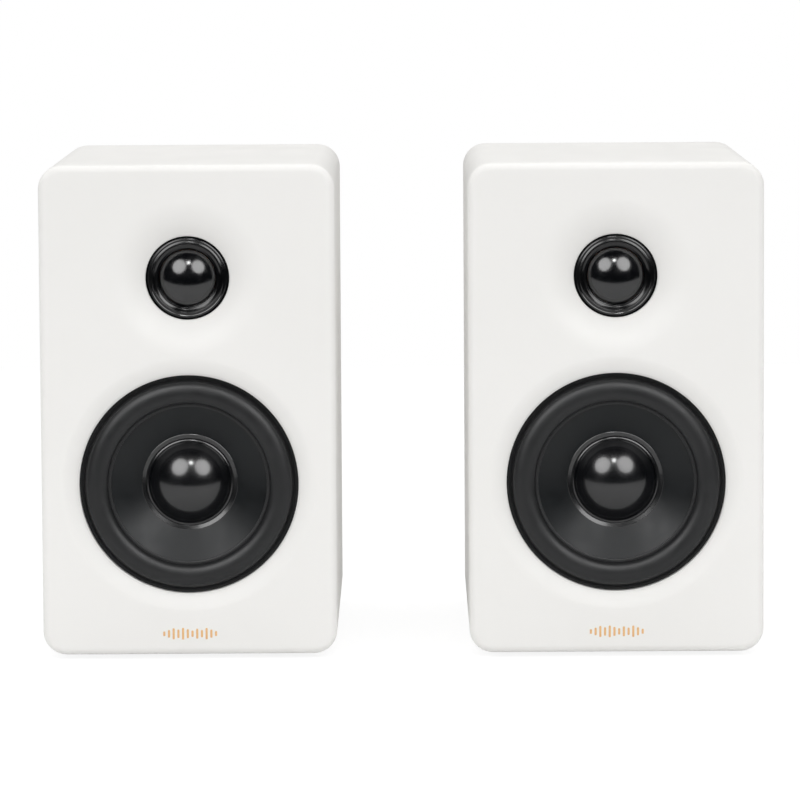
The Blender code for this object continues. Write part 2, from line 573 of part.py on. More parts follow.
def link_socket(side, centre, parent):
    """The round multi-pin socket for the lead between the two cabinets."""
    x, z = centre
    profile = [(0, LINK_BACK), (LINK_R, LINK_BACK), (LINK_R, FITTING_Y0), (LINK_RIM_R, FITTING_Y0),
               (LINK_RIM_R, REAR), (LINK_MOUTH_R, REAR), (LINK_MOUTH_R, LINK_FLOOR), (0, LINK_FLOOR)]
    body = turned(f"{side}_link_socket", profile, "black_plastic", (x, 0, z), parent)
    pins = 4
    for number in range(pins):
        angle = math.tau * (number + 0.5) / pins
        start, end = LINK_FLOOR - PIN_ROOT, LINK_FLOOR + LINK_PIN
        pin = turned(f"cutter_{side}_link_pin_{number}",
                     [(0, start), (LINK_PIN_R, start), (LINK_PIN_R, end), (0, end)], None,
                     (x + LINK_PIN_RING * math.cos(angle), 0, z + LINK_PIN_RING * math.sin(angle)),
                     parent, 6)
        join(body, pin)


def aux_socket(side, parent):
    x, z = AUX_AT
    profile = [(0, SOCKET_BACK), (AUX_BODY / 2, SOCKET_BACK), (AUX_BODY / 2, FITTING_Y0),
               (AUX_RIM_R + 0.8 * MM, FITTING_Y0), (AUX_RIM_R + 0.8 * MM, REAR - 0.3 * MM),
               (AUX_RIM_R, REAR), (AUX_HOLE_R, REAR), (AUX_HOLE_R, SOCKET_FLOOR), (0, SOCKET_FLOOR)]
    turned(f"{side}_aux_socket", profile, "black_plastic", (x, 0, z), parent)


def usb_socket(side, parent):
    """A flat socket: a metal shell with a tongue down its middle, in a plastic rim."""
    body = slab(f"{side}_usb_socket", USB_RIM, 2.6 * MM, FITTING_Y0, REAR, "black_plastic", USB_AT,
                parent, steps=3)
    size = (USB_MOUTH[0] + 2 * USB_WALL, USB_MOUTH[1] + 2 * USB_WALL)
    shell = slab(f"cutter_{side}_usb_shell", size, size[1] / 2 - 0.2 * MM, SOCKET_BACK,
                 SHELL_END, None, USB_AT, parent, steps=3)
    mouth = slab(f"cutter_{side}_usb_mouth", USB_MOUTH, USB_MOUTH[1] / 2 - 0.1 * MM, SOCKET_FLOOR,
                 REAR + CLEAR, None, USB_AT, parent, steps=3)
    tongue = slab(f"cutter_{side}_usb_tongue", USB_TONGUE, 0.2 * MM, SOCKET_FLOOR - PIN_ROOT,
                  USB_TONGUE_END, None, USB_AT, parent, steps=1)
    join(body, shell)
    cut(body, mouth)
    join(body, tongue)


# ---------------------------------------------------------------- electronics
def amp_board(side, parent):
    """The upright amplifier board with its two reservoir capacitors."""
    width, height, rear = AMP_BOARD
    middle = AMP_PLATE[2]
    board = slab(f"{side}_amp_board", (width, height), 1 * MM, rear - BOARD_T, rear,
                 "circuit_board", (0, middle), parent, steps=1)
    for number, (x, z) in enumerate(CAPACITORS_AT):
        end = rear - BOARD_T - CAPACITOR_H
        can = turned(f"cutter_{side}_capacitor_{number}",
                     [(0, end), (CAPACITOR_R, end), (CAPACITOR_R, rear - BOARD_T / 2),
                      (0, rear - BOARD_T / 2)], None, (x, 0, z), parent, 12)
        join(board, can)


def heatsink(side, parent):
    """A comb of fins, extruded upwards, on the inner side of the amplifier board."""
    width, height, reach = SINK
    foot = AMP_BOARD[2] - BOARD_T - GAP
    pitch = (width - FIN) / (SINK_FINS - 1)
    comb = [(width / 2, foot, 0), (-width / 2, foot, 0)]
    for number in range(SINK_FINS):
        x = -width / 2 + number * pitch
        tip, root = foot - reach, foot - SINK_BASE
        comb += [(x, tip, 0), (x + FIN, tip, 0)]
        if number < SINK_FINS - 1:
            comb += [(x + FIN, root, 0), (x + pitch, root, 0)]
    low = AMP_PLATE[2] - height / 2 + SINK_RISE
    extruded(f"{side}_heatsink", comb, "Z", low, low + height, "aluminium", (SINK_X, 0, 0), parent)


def power_board(side, parent):
    """The flat mains board on the cabinet's floor, with its transformer and a capacitor."""
    width, length, low = POWER_BOARD
    y0, y1 = POWER_BOARD_Y - length / 2, POWER_BOARD_Y + length / 2
    board = slab(f"{side}_power_board", (width, BOARD_T), 0.3 * MM, y0, y1, "circuit_board",
                 (0, low + BOARD_T / 2), parent, steps=1)
    for name, block, (x, start), radius in (("transformer", TRANSFORMER, TRANSFORMER_AT, 1.5 * MM),
                                            ("mains_can", MAINS_CAN, MAINS_CAN_AT, 7 * MM)):
        centre = (x, low + BOARD_T / 2 + block[2] / 2)
        join(board, slab(f"cutter_{side}_{name}", (block[0], block[2]), radius, y0 + start,
                         y0 + start + block[1], None, centre, parent, steps=3))


def touch_board(side, parent):
    """The touch sensor under the top wall's thin skin."""
    width, length = TOUCH_BOARD
    top = HEIGHT - TOUCH_SKIN - GAP
    slab(f"{side}_touch_board", (width, BOARD_T), 0.3 * MM, TOUCH_Y - length / 2,
         TOUCH_Y + length / 2, "circuit_board", (0, top - BOARD_T / 2), parent, steps=1)


def wadding(side, parent):
    width, length, height = WADDING
    slab(f"{side}_wadding", (width, height), 4 * MM, WADDING_Y - length / 2, WADDING_Y + length / 2,
         "wadding", (0, WADDING_Z), parent, steps=3)


# ---------------------------------------------------------------- the two speakers
def speaker(side, x, plate, hole):
    """What both cabinets have. Returns the empty that carries this one."""
    carrier = bpy.data.objects.new(f"{side}_speaker", None)
    carrier.location = (x, 0, 0)
    bpy.context.scene.collection.objects.link(carrier)
    front_baffle(side, carrier)
    cabinet_wrap(side, carrier, touch_pocket=side == "right")
    rear_panel(side, carrier, plate, hole)
    bass_port(side, carrier)
    foot_strips(side, carrier)
    woofer(side, carrier)
    tweeter(side, carrier)
    wadding(side, carrier)
    return carrier


def main():
    clear_scene()
    round_hole = (2 * LINK_R, 2 * LINK_R)
    left = speaker("left", -SPACING / 2, INPUT_PLATE, INPUT_HOLE)
    rear_plate("left_input_plate", INPUT_PLATE, [(round_hole, LINK_R - 0.1 * MM, INPUT_LINK_AT)], left)
    link_socket("left", INPUT_LINK_AT, left)

    right = speaker("right", SPACING / 2, AMP_PLATE, AMP_HOLE)
    usb_hole = (USB_MOUTH[0] + 2 * USB_WALL, USB_MOUTH[1] + 2 * USB_WALL)
    rear_plate("right_amp_plate", AMP_PLATE, [
        (INLET_BODY, 4 * MM, INLET_AT), (SWITCH_BODY, 1 * MM, SWITCH_AT),
        (round_hole, LINK_R - 0.1 * MM, LINK_AT), ((AUX_BODY, AUX_BODY), AUX_BODY / 2 - 0.1 * MM, AUX_AT),
        (usb_hole, usb_hole[1] / 2 - 0.2 * MM, USB_AT)], right)
    mains_inlet("right", right)
    power_switch("right", right)
    link_socket("right", LINK_AT, right)
    aux_socket("right", right)
    usb_socket("right", right)
    amp_board("right", right)
    heatsink("right", right)
    power_board("right", right)
    touch_board("right", right)


main()
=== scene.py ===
# %% [markdown]
# # A pair of white desktop speakers
# Each speaker is a lacquered box with a woofer below and a dome tweeter above. The right one holds
# the amplifier, so its rear carries the sockets and the switch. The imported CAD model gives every
# position, and this lesson gives each visible piece its finished shape and its material.

# %% Load the frame
import json
import math

import bmesh
import bpy
from mathutils import Matrix, Vector

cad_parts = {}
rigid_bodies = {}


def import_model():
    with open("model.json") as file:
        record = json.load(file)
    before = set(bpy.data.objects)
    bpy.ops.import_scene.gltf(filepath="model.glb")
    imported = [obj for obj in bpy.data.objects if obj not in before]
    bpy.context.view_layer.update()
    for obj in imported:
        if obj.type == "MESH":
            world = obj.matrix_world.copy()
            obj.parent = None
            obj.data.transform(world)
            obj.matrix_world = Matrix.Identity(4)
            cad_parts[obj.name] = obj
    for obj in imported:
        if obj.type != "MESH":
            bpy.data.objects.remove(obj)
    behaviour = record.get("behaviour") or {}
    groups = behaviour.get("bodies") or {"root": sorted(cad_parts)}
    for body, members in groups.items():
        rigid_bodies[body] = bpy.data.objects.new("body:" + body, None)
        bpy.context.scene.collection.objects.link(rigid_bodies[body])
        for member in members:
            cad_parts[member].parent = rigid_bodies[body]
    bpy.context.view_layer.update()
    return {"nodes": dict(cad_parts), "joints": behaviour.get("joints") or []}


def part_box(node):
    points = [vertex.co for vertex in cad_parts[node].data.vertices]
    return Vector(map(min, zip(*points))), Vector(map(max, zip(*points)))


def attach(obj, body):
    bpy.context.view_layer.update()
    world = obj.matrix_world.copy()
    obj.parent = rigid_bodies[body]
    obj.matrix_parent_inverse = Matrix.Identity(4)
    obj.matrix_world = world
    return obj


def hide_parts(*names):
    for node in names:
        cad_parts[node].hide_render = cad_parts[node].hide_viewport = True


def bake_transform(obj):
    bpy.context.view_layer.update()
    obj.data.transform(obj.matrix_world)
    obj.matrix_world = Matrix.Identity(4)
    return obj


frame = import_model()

MM = 0.001
SIDES = ("left", "right")

# %% [markdown]
# ## Where things are
# The CAD model already says where each driver, tube and plate sits, so positions are read from its
# boxes. That way a change in the CAD moves the finished piece too. Inside a driver, "depth" means
# the distance behind the baffle's front plane, which is how a driver's drawing is dimensioned.

# %% Read the positions
def centre_of(node):
    low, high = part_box(node)
    return (Vector(low) + Vector(high)) / 2


def low_of(node):
    return Vector(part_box(node)[0])


def high_of(node):
    return Vector(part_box(node)[1])


def measured(node):
    """A node's size and the centre of its box."""
    return high_of(node) - low_of(node), centre_of(node)


FRONT = low_of("left_front_baffle").y
REAR = high_of("left_bass_port").y
PANEL_FACE = high_of("left_rear_panel").y


def on_baffle(node):
    """The point where a driver's axis meets the baffle's front plane."""
    middle = centre_of(node)
    return Vector((middle.x, FRONT, middle.z))


for side in SIDES:
    print(side, "woofer axis at", [round(v / MM, 1) for v in on_baffle(f"{side}_woofer_cone")])

# %% [markdown]
# ## Tools for turned pieces
# Cones, domes, rings and tubes are all round, so each is drawn as half a cross-section and turned
# about its axis, as on a lathe. Boolean cuts would also work, but they leave uneven faces that
# shade badly on glossy curves. `softened` rounds the corners of a section first, because a real
# edge always has a small radius, and that radius is what catches the light.

# %% Turn a section about its axis
def softened(section, steps=4):
    """Rounds the corners of a closed section of (radius, depth, rounding) points."""
    rounded = []
    for index, (radius, depth, rounding) in enumerate(section):
        corner = Vector((radius, depth))
        if not rounding:
            rounded.append(tuple(corner))
            continue
        before = Vector(section[index - 1][:2]) - corner
        after = Vector(section[(index + 1) % len(section)][:2]) - corner
        start = corner + before.normalized() * min(rounding, before.length * 0.45)
        end = corner + after.normalized() * min(rounding, after.length * 0.45)
        for step in range(steps + 1):
            t = step / steps
            point = start * (1 - t) ** 2 + corner * 2 * t * (1 - t) + end * t ** 2
            rounded.append(tuple(point))
    return rounded


def finished(name, work, at=(0, 0, 0), sharp=32):
    """Makes an object of a bmesh, smooth all over but for its sharp edges."""
    bmesh.ops.recalc_face_normals(work, faces=work.faces)
    mesh = bpy.data.meshes.new(name)
    work.to_mesh(mesh)
    work.free()
    mesh.shade_smooth()
    mesh.set_sharp_from_angle(angle=math.radians(sharp))
    piece = bpy.data.objects.new(name, mesh)
    piece.location = at
    bpy.context.scene.collection.objects.link(piece)
    return piece


def turned(name, section, at, sides=96, sharp=32):
    """A solid turned about the front-to-back axis from a closed section of (radius, depth)."""
    work = bmesh.new()
    points = [work.verts.new((radius, depth, 0)) for radius, depth in section]
    rim = []
    for first, second in zip(points, points[1:] + points[:1]):
        if first.co.x > 1e-9 or second.co.x > 1e-9:
            rim.append(work.edges.new((first, second)))
    bmesh.ops.spin(work, geom=points + rim, cent=(0, 0, 0), axis=(0, 1, 0), angle=math.tau,
                   steps=sides, use_merge=True)
    bmesh.ops.remove_doubles(work, verts=work.verts, dist=2e-7)
    return finished(name, work, at, sharp)


# %% [markdown]
# ## Tools for boxy pieces
# Panels, plates, feet and sockets are all rounded rectangles, one behind the other. `lofted` joins
# such rectangles into a solid, so one list of sizes describes a bevel, a recess or a pin.
# `panel` fills a flat face round its openings. The narrow flat band inside each edge keeps the
# shading of the large flat area clean, which matters most on a plain white front.

# %% Loft rounded rectangles and fill panels
def rectangle(width, height, radius, depth, centre=(0, 0), steps=8):
    """A rounded rectangle facing front, as points in order."""
    points = []
    for quarter in range(4):
        across = (width / 2 - radius) * (1 if quarter in (0, 3) else -1)
        up = (height / 2 - radius) * (1 if quarter in (0, 1) else -1)
        for step in range(steps + 1):
            angle = math.tau / 4 * (quarter + step / steps)
            x = centre[0] + across + radius * math.cos(angle)
            z = centre[1] + up + radius * math.sin(angle)
            points.append((x, depth, z))
    return points


def circle(radius, depth, centre=(0, 0), count=128):
    points = []
    for step in range(count):
        angle = math.tau * step / count
        points.append((centre[0] + radius * math.cos(angle), depth,
                       centre[1] + radius * math.sin(angle)))
    return points


def bridge(work, loops):
    """Joins each loop of points to the next with a band of faces. Returns the rows of vertices."""
    rows = [[work.verts.new(point) for point in loop] for loop in loops]
    for near, far in zip(rows, rows[1:]):
        for index in range(len(near)):
            after = (index + 1) % len(near)
            work.faces.new((near[index], near[after], far[after], far[index]))
    return rows


def lofted(name, stations, at=(0, 0, 0), steps=8):
    """A solid through rounded rectangles, each (width, height, corner radius, depth)."""
    work = bmesh.new()
    rows = bridge(work, [rectangle(*station, steps=steps) for station in stations])
    for row in (rows[0], rows[-1]):
        work.faces.new(row)
    return finished(name, work, at)


def flat_fill(work, rows):
    """Fills the flat area between an outer row of vertices and the rows inside it."""
    rim = []
    for row in rows:
        for first, second in zip(row, row[1:] + row[:1]):
            rim.append(work.edges.get((first, second)) or work.edges.new((first, second)))
    bmesh.ops.triangle_fill(work, use_beauty=True, use_dissolve=False, edges=rim)


def panel(name, size, centre, corner, face, back, edge, openings):
    """A thick panel with a rounded edge on its face, and openings given as loops from face to back."""
    width, height = size
    inward = 1 if back > face else -1
    band, bend, steps = 0.4 * MM, 8, 10
    outer = [rectangle(width - 2 * (edge + band), height - 2 * (edge + band),
                       corner - edge - band, face, centre, steps)]
    for step in range(bend + 1):
        angle = math.tau / 4 * step / bend
        inset = edge * (1 - math.sin(angle))
        depth = face + inward * edge * (1 - math.cos(angle))
        outer.append(rectangle(width - 2 * inset, height - 2 * inset, corner - inset, depth,
                               centre, steps))
    outer.append(rectangle(width, height, corner, back, centre, steps))
    work = bmesh.new()
    skin = bridge(work, outer)
    holes = [bridge(work, loops) for loops in openings]
    flat_fill(work, [skin[0]] + [hole[0] for hole in holes])
    flat_fill(work, [skin[-1]] + [hole[-1] for hole in holes])
    return finished(name, work, sharp=40)


# %% [markdown]
# ## Tools for finishes
# A finish is a material made from nodes: a base shader, and then noise that varies its colour,
# its roughness and its surface height. Real lacquer, rubber and plastic are never perfectly even,
# and these small changes are what the eye reads as the material. Every pattern is measured in the
# piece's own coordinates, so it stays in place whichever way the piece is seen.

# %% Make and vary a finish
class Finish:
    """A material with a base colour and roughness, to which grain and variation are added."""

    def __init__(self, name, colour, roughness, metallic=0.0, **settings):
        self.material = bpy.data.materials.new(name)
        self.material.use_nodes = True
        self.tree = self.material.node_tree
        self.shader = self.tree.nodes["Principled BSDF"]
        self.colour, self.roughness = colour, roughness
        self.set("Base Color", (*colour, 1))
        self.set("Roughness", roughness)
        self.set("Metallic", metallic)
        for words, value in settings.items():
            self.set(words.replace("_", " "), value)
        self.place = self.node("ShaderNodeTexCoord").outputs["Object"]
        self.normal = None

    def node(self, kind):
        return self.tree.nodes.new(kind)

    def set(self, socket, value):
        self.shader.inputs[socket].default_value = value

    def join(self, output, socket):
        self.tree.links.new(output, socket)

    def stretched(self, stretch):
        """The piece's coordinates, stretched by a factor on each axis."""
        mapping = self.node("ShaderNodeMapping")
        mapping.inputs["Scale"].default_value = stretch
        self.join(self.place, mapping.inputs["Vector"])
        return mapping.outputs["Vector"]

    def noise(self, size, detail=3.0, stretch=(1, 1, 1)):
        """Cloudy noise with features of about this size."""
        texture = self.node("ShaderNodeTexNoise")
        texture.inputs["Scale"].default_value = 1 / size
        texture.inputs["Detail"].default_value = detail
        self.join(self.stretched(stretch), texture.inputs["Vector"])
        return texture.outputs["Fac"]

    def waves(self, pitch, kind="BANDS", direction="X"):
        """Even ridges, straight or round, at this pitch."""
        texture = self.node("ShaderNodeTexWave")
        texture.wave_type = kind
        if kind == "BANDS":
            texture.bands_direction = direction
        else:
            texture.rings_direction = direction
        texture.inputs["Scale"].default_value = math.tau / (20 * pitch)
        self.join(self.place, texture.inputs["Vector"])
        return texture.outputs["Fac"]

    def cells(self, size, feature="F1"):
        texture = self.node("ShaderNodeTexVoronoi")
        texture.feature = feature
        texture.inputs["Scale"].default_value = 1 / size
        self.join(self.place, texture.inputs["Vector"])
        return texture.outputs["Distance"]

    def ranged(self, output, low, high, start=0.3, end=0.7):
        ramp = self.node("ShaderNodeMapRange")
        self.join(output, ramp.inputs["Value"])
        for socket, value in zip(("From Min", "From Max", "To Min", "To Max"), (start, end, low, high)):
            ramp.inputs[socket].default_value = value
        return ramp.outputs["Result"]

    def vary_roughness(self, pattern, change):
        low, high = self.roughness - change, self.roughness + change
        self.join(self.ranged(pattern, max(low, 0.02), high), self.shader.inputs["Roughness"])
        return self

    def vary_colour(self, pattern, other, start=0.3, end=0.7):
        mix = self.node("ShaderNodeMix")
        mix.data_type = "RGBA"
        self.join(self.ranged(pattern, 0, 1, start, end), mix.inputs["Factor"])
        mix.inputs["A"].default_value = (*self.colour, 1)
        mix.inputs["B"].default_value = (*other, 1)
        self.join(mix.outputs["Result"], self.shader.inputs["Base Color"])
        return self

    def relief(self, pattern, height, strength=1.0):
        """Raises the surface by this height where the pattern is bright."""
        bump = self.node("ShaderNodeBump")
        bump.inputs["Distance"].default_value = height
        bump.inputs["Strength"].default_value = strength
        self.join(pattern, bump.inputs["Height"])
        if self.normal:
            self.join(self.normal, bump.inputs["Normal"])
        self.normal = bump.outputs["Normal"]
        self.join(self.normal, self.shader.inputs["Normal"])
        return self


def dress(piece, finish, body=None, nodes=()):
    """Gives a piece its finish, its place on a body, and the CAD nodes it stands for."""
    piece.data.materials.clear()
    piece.data.materials.append(finish.material)
    if nodes:
        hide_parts(*nodes)
    if body:
        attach(piece, body)
    return piece


# %% [markdown]
# ## White lacquer
# The boxes are fibreboard, sprayed with a satin white and baked. Sprayed paint settles into very
# faint ripples called orange peel, and its sheen varies a little. So the finish is a warm off-white
# whose colour and roughness drift slowly, with ripples a few thousandths of a millimetre high.

# %% Mix the lacquer
lacquer = Finish("white_lacquer", (0.875, 0.866, 0.846), 0.55, Specular_IOR_Level=0.35)
lacquer.vary_colour(lacquer.noise(60 * MM), (0.86, 0.852, 0.83))
lacquer.vary_roughness(lacquer.noise(9 * MM), 0.05)
lacquer.relief(lacquer.noise(1.6 * MM, detail=2), 0.004 * MM)
lacquer.relief(lacquer.noise(0.25 * MM, detail=2), 0.0015 * MM)
print("lacquer uses", len(lacquer.tree.nodes), "nodes")

# %% [markdown]
# ## The front baffle
# The baffle is a thick board that a router has shaped: a shallow dish round the woofer, and a soft
# flare that guides the tweeter's sound. Both start level with the board and get steeper inwards, so
# their outer edges can't be seen as lines. Sections as lists of loops give exactly that, where a
# boolean cut would leave a faceted rim on the smoothest part.

# %% Shape the baffles
CORNER, EDGE = 8 * MM, 2.4 * MM
FLARE_R, THROAT_R, THROAT_DEPTH = 26.3 * MM, 14.25 * MM, 5.2 * MM
DISH_R, DISH_DEPTH, WOOFER_R = 43.2 * MM, 2.4 * MM, 37.2 * MM
BAND = 0.1 * MM
RING_SEAT_R, RING_SEAT, REBATE_R, REBATE = 19.3 * MM, 8 * MM, 41.7 * MM, 5 * MM


def sunk(outer, inner, depth, power, count):
    """A section that starts level at the outer radius and steepens towards the inner one."""
    section = [(outer + BAND, 0)]
    for step in range(count + 1):
        t = step / count
        section.append((outer + (inner - outer) * t, depth * t ** power))
    return section


def opening(section, back, centre):
    """Loops for a panel's opening, from a section of (radius, depth) and straight on to its back."""
    loops = [circle(radius, FRONT + depth, centre) for radius, depth in section]
    return loops + [circle(section[-1][0], back, centre)]


# the tweeter's flare, the throat, and a seat for the ring
flare = sunk(FLARE_R, THROAT_R, THROAT_DEPTH, 1.9, 24)
flare += [(THROAT_R - 0.05 * MM, THROAT_DEPTH + 0.15 * MM), (THROAT_R, RING_SEAT),
          (RING_SEAT_R, RING_SEAT)]
# the woofer's dish, a soft lip, and a rebate for the basket
dish = sunk(DISH_R, WOOFER_R + 0.6 * MM, DISH_DEPTH - 0.4 * MM, 1.5, 20)
dish += [(WOOFER_R + 0.35 * MM, DISH_DEPTH - 0.12 * MM), (WOOFER_R + 0.08 * MM, DISH_DEPTH + 0.02 * MM),
         (WOOFER_R, DISH_DEPTH + 0.3 * MM), (WOOFER_R, REBATE), (REBATE_R, REBATE)]


def box_of(side):
    """The size and centre of the cabinet's outline, seen from the front."""
    low, high = low_of(f"{side}_front_baffle"), high_of(f"{side}_front_baffle")
    return (high.x - low.x, high.z - low.z), ((low.x + high.x) / 2, (low.z + high.z) / 2)


FRONT_SEAM = (high_of("left_front_baffle").y + low_of("left_cabinet_wrap").y) / 2
REAR_SEAM = (high_of("left_cabinet_wrap").y + low_of("left_rear_panel").y) / 2
for side in SIDES:
    size, centre = box_of(side)
    woofer, tweeter = on_baffle(f"{side}_woofer_cone"), on_baffle(f"{side}_tweeter_dome")
    openings = [opening(dish, FRONT_SEAM, (woofer.x, woofer.z)),
                opening(flare, FRONT_SEAM, (tweeter.x, tweeter.z))]
    baffle = panel(f"{side}_baffle", size, centre, CORNER, FRONT, FRONT_SEAM, EDGE, openings)
    dress(baffle, lacquer, f"{side}_speaker", [f"{side}_front_baffle"])
    print(baffle.name, len(baffle.data.polygons), "faces")

# %% [markdown]
# ## The cabinet's walls
# The four walls are one board, grooved and folded round the baffle, so they show no joint once
# painted. A band of rounded rectangles outside and another inside make the tube. The seams with the
# front and rear boards are filled and sanded on the real box, so the pieces simply meet there.

# %% Fold the walls
WALL = 8 * MM
for side in SIDES:
    (width, height), centre = box_of(side)
    work = bmesh.new()
    inner_size = (width - 2 * WALL, height - 2 * WALL, 3 * MM)
    loops = [rectangle(width, height, CORNER, FRONT_SEAM, centre, 10),
             rectangle(width, height, CORNER, REAR_SEAM, centre, 10),
             rectangle(*inner_size, REAR_SEAM, centre, 10),
             rectangle(*inner_size, FRONT_SEAM, centre, 10)]
    bridge(work, loops + loops[:1])
    bmesh.ops.remove_doubles(work, verts=work.verts, dist=1e-7)
    walls = finished(f"{side}_walls", work)
    dress(walls, lacquer, f"{side}_speaker", [f"{side}_cabinet_wrap"])
print("walls run from", round(FRONT_SEAM / MM, 1), "to", round(REAR_SEAM / MM, 1), "mm")

# %% [markdown]
# ## The rear board
# The rear board has a round hole for the bass port and a shallow recess in which the sockets' plate
# lies flush. It is the same kind of panel as the baffle, only facing the other way.

# %% Cut the rear boards
RECESS, PORT_HOLE_R = 1.2 * MM, 19 * MM
plates = {"left": "left_input_plate", "right": "right_amp_plate"}
for side in SIDES:
    size, centre = box_of(side)
    port, plate = centre_of(f"{side}_bass_port"), plates[side]
    plate_size, middle = measured(plate)
    spot = (middle.x, middle.z)
    port_hole = [circle(radius, depth, (port.x, port.z))
                 for radius, depth in ((PORT_HOLE_R + 0.4 * MM, PANEL_FACE), (PORT_HOLE_R, PANEL_FACE),
                                       (PORT_HOLE_R, REAR_SEAM))]
    recess = [(0.8 * MM, 3.4 * MM, PANEL_FACE), (0.6 * MM, 3.3 * MM, PANEL_FACE),
              (0.6 * MM, 3.3 * MM, PANEL_FACE - RECESS), (-10 * MM, 1 * MM, PANEL_FACE - RECESS),
              (-10 * MM, 1 * MM, REAR_SEAM)]
    plate_hole = [rectangle(plate_size.x + grow, plate_size.z + grow, radius, depth, spot, 6)
                  for grow, radius, depth in recess]
    board = panel(f"{side}_rear_board", size, centre, CORNER, PANEL_FACE, REAR_SEAM, EDGE,
                  [port_hole, plate_hole])
    dress(board, lacquer, f"{side}_speaker", [f"{side}_rear_panel"])
    print(board.name, "is", [round(v / MM, 1) for v in size], "mm")

# %% [markdown]
# ## The woofer's rubber surround
# The surround is a moulded rubber ring: a rim and a groove under the baffle's lip, a half-round roll
# that lets the cone travel, and a thin lip glued to the cone. Butyl rubber is matt, with a soft
# broad highlight. On the real speaker the rim stays and the inner lip follows when the cone moves.
# Here the ring is tied to no body, and its share between outer and inner radius is worked out but not
# applied.

# %% Mould the surrounds
rubber = Finish("butyl_rubber", (0.012, 0.0125, 0.0135), 0.4, Specular_IOR_Level=0.32)
rubber.vary_colour(rubber.noise(14 * MM), (0.015, 0.0155, 0.0165))
rubber.vary_roughness(rubber.noise(5 * MM), 0.05)
rubber.relief(rubber.noise(0.22 * MM, detail=2), 0.006 * MM)

ROLL_R, ROLL_HALF, ROLL_FOOT, ROLL_TOP, SKIN = 31.3 * MM, 3.9 * MM, 2.7 * MM, 0.3 * MM, 0.7 * MM
RUBBER_RIM_R, RUBBER_LIP_R = 37 * MM, 26.4 * MM


def roll(inset):
    """The roll's arch, from its outer foot to its inner one."""
    points, steps = [], 28
    for step in range(steps + 1):
        angle = math.pi * step / steps
        across = (ROLL_HALF - inset) * math.cos(angle)
        points.append((ROLL_R + across, ROLL_FOOT + inset - (ROLL_FOOT - ROLL_TOP) * math.sin(angle)))
    return points


def radial_blend(piece, middle, rim, lip):
    """Bakes a ring's placement into its mesh and works out how far each vertex lies between a still
    outer radius and an inner one; nothing is moved.
    """
    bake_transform(piece)
    for vertex in piece.data.vertices:
        offset = vertex.co - middle
        t = (rim - math.hypot(offset.x, offset.z)) / (rim - lip)
        t = min(max(t, 0), 1)


def surround_section():
    """The rim and its groove, the roll, the lip, and back along the underside."""
    rim, lip, foot = RUBBER_RIM_R, RUBBER_LIP_R, ROLL_R + ROLL_HALF
    section = [(rim, REBATE), (rim, 4.7 * MM), (rim - 0.35 * MM, 4.8 * MM), (rim - 0.8 * MM, 4.75 * MM),
               (foot + 0.55 * MM, 4.2 * MM), (foot + 0.2 * MM, 3.4 * MM)]
    section += roll(0)
    section += [(lip + 0.25 * MM, ROLL_FOOT), (lip + 0.05 * MM, ROLL_FOOT + 0.1 * MM),
                (lip, ROLL_FOOT + SKIN)]
    section += roll(SKIN)[::-1]
    section.append((foot - SKIN, REBATE))
    return section


for side in SIDES:
    middle = on_baffle(f"{side}_woofer_cone")
    ring = turned(f"{side}_surround", surround_section(), middle, 160, 50)
    dress(ring, rubber, None, [f"{side}_woofer_surround"])
    radial_blend(ring, middle, ROLL_R + ROLL_HALF, ROLL_R - ROLL_HALF)
    print(ring.name, "bends between radius", round((ROLL_R + ROLL_HALF) / MM, 1), "and",
          round((ROLL_R - ROLL_HALF) / MM, 1), "mm")

# %% [markdown]
# ## The cone
# The cone is moulded from polypropylene filled with mica, a satin blue-black. It is straight-sided
# and about a millimetre thick. Its gloss is weak and wide, so a lamp shows on it as a soft fan of
# light, and very fine rings stand for the marks that the mould's turning leaves.

# %% Mould the cones
CONE_R, CONE_EDGE, NECK_R, CONE_SKIN = 27.4 * MM, 3.3 * MM, 10.8 * MM, 0.9 * MM
SEAT_R, SEAT = 14.8 * MM, 10.7 * MM
CONE_SLOPE = (SEAT - CONE_EDGE) / (CONE_R - SEAT_R)

cone_plastic = Finish("mica_filled_cone", (0.0014, 0.0028, 0.004), 0.4, Specular_IOR_Level=0.31)
cone_plastic.vary_colour(cone_plastic.noise(3 * MM), (0.002, 0.0038, 0.0052))
cone_plastic.vary_roughness(cone_plastic.noise(6 * MM), 0.04)
cone_plastic.relief(cone_plastic.waves(0.8 * MM, "RINGS", "Y"), 0.0012 * MM)


def cone_front(radius):
    """How deep the cone's front surface is at this radius."""
    return CONE_EDGE + (CONE_R - radius) * CONE_SLOPE


for side in SIDES:
    steps = 12
    radii = [CONE_R + (NECK_R - CONE_R) * step / steps for step in range(steps + 1)]
    front_skin = [(radius, cone_front(radius)) for radius in radii]
    rear_skin = [(radius, depth + CONE_SKIN) for radius, depth in front_skin[::-1]]
    cone = turned(f"{side}_cone", front_skin + rear_skin, on_baffle(f"{side}_woofer_cone"), 160)
    dress(cone, cone_plastic, f"{side}_woofer_diaphragm", [f"{side}_woofer_cone"])
print("the cone's slope is", round(math.degrees(math.atan(CONE_SLOPE)), 1), "degrees")

# %% [markdown]
# ## The dust cap
# The dust cap is a deep polished dome that keeps grit out of the magnet's gap. Its foot is a narrow
# flange glued to the cone. The flange slopes, so its lower half mirrors the lamps as a bright arc
# and its upper half shows only fine lines. Polished plastic needs low roughness, and a whisper of
# variation so that the reflections of the lights aren't perfect.

# %% Polish the dust caps
polished = Finish("polished_black", (0.003, 0.0034, 0.0044), 0.22, Specular_IOR_Level=0.55,
                  Coat_Weight=0.3, Coat_Roughness=0.08)
polished.vary_roughness(polished.noise(7 * MM), 0.03)
polished.relief(polished.noise(5 * MM, detail=1), 0.01 * MM)

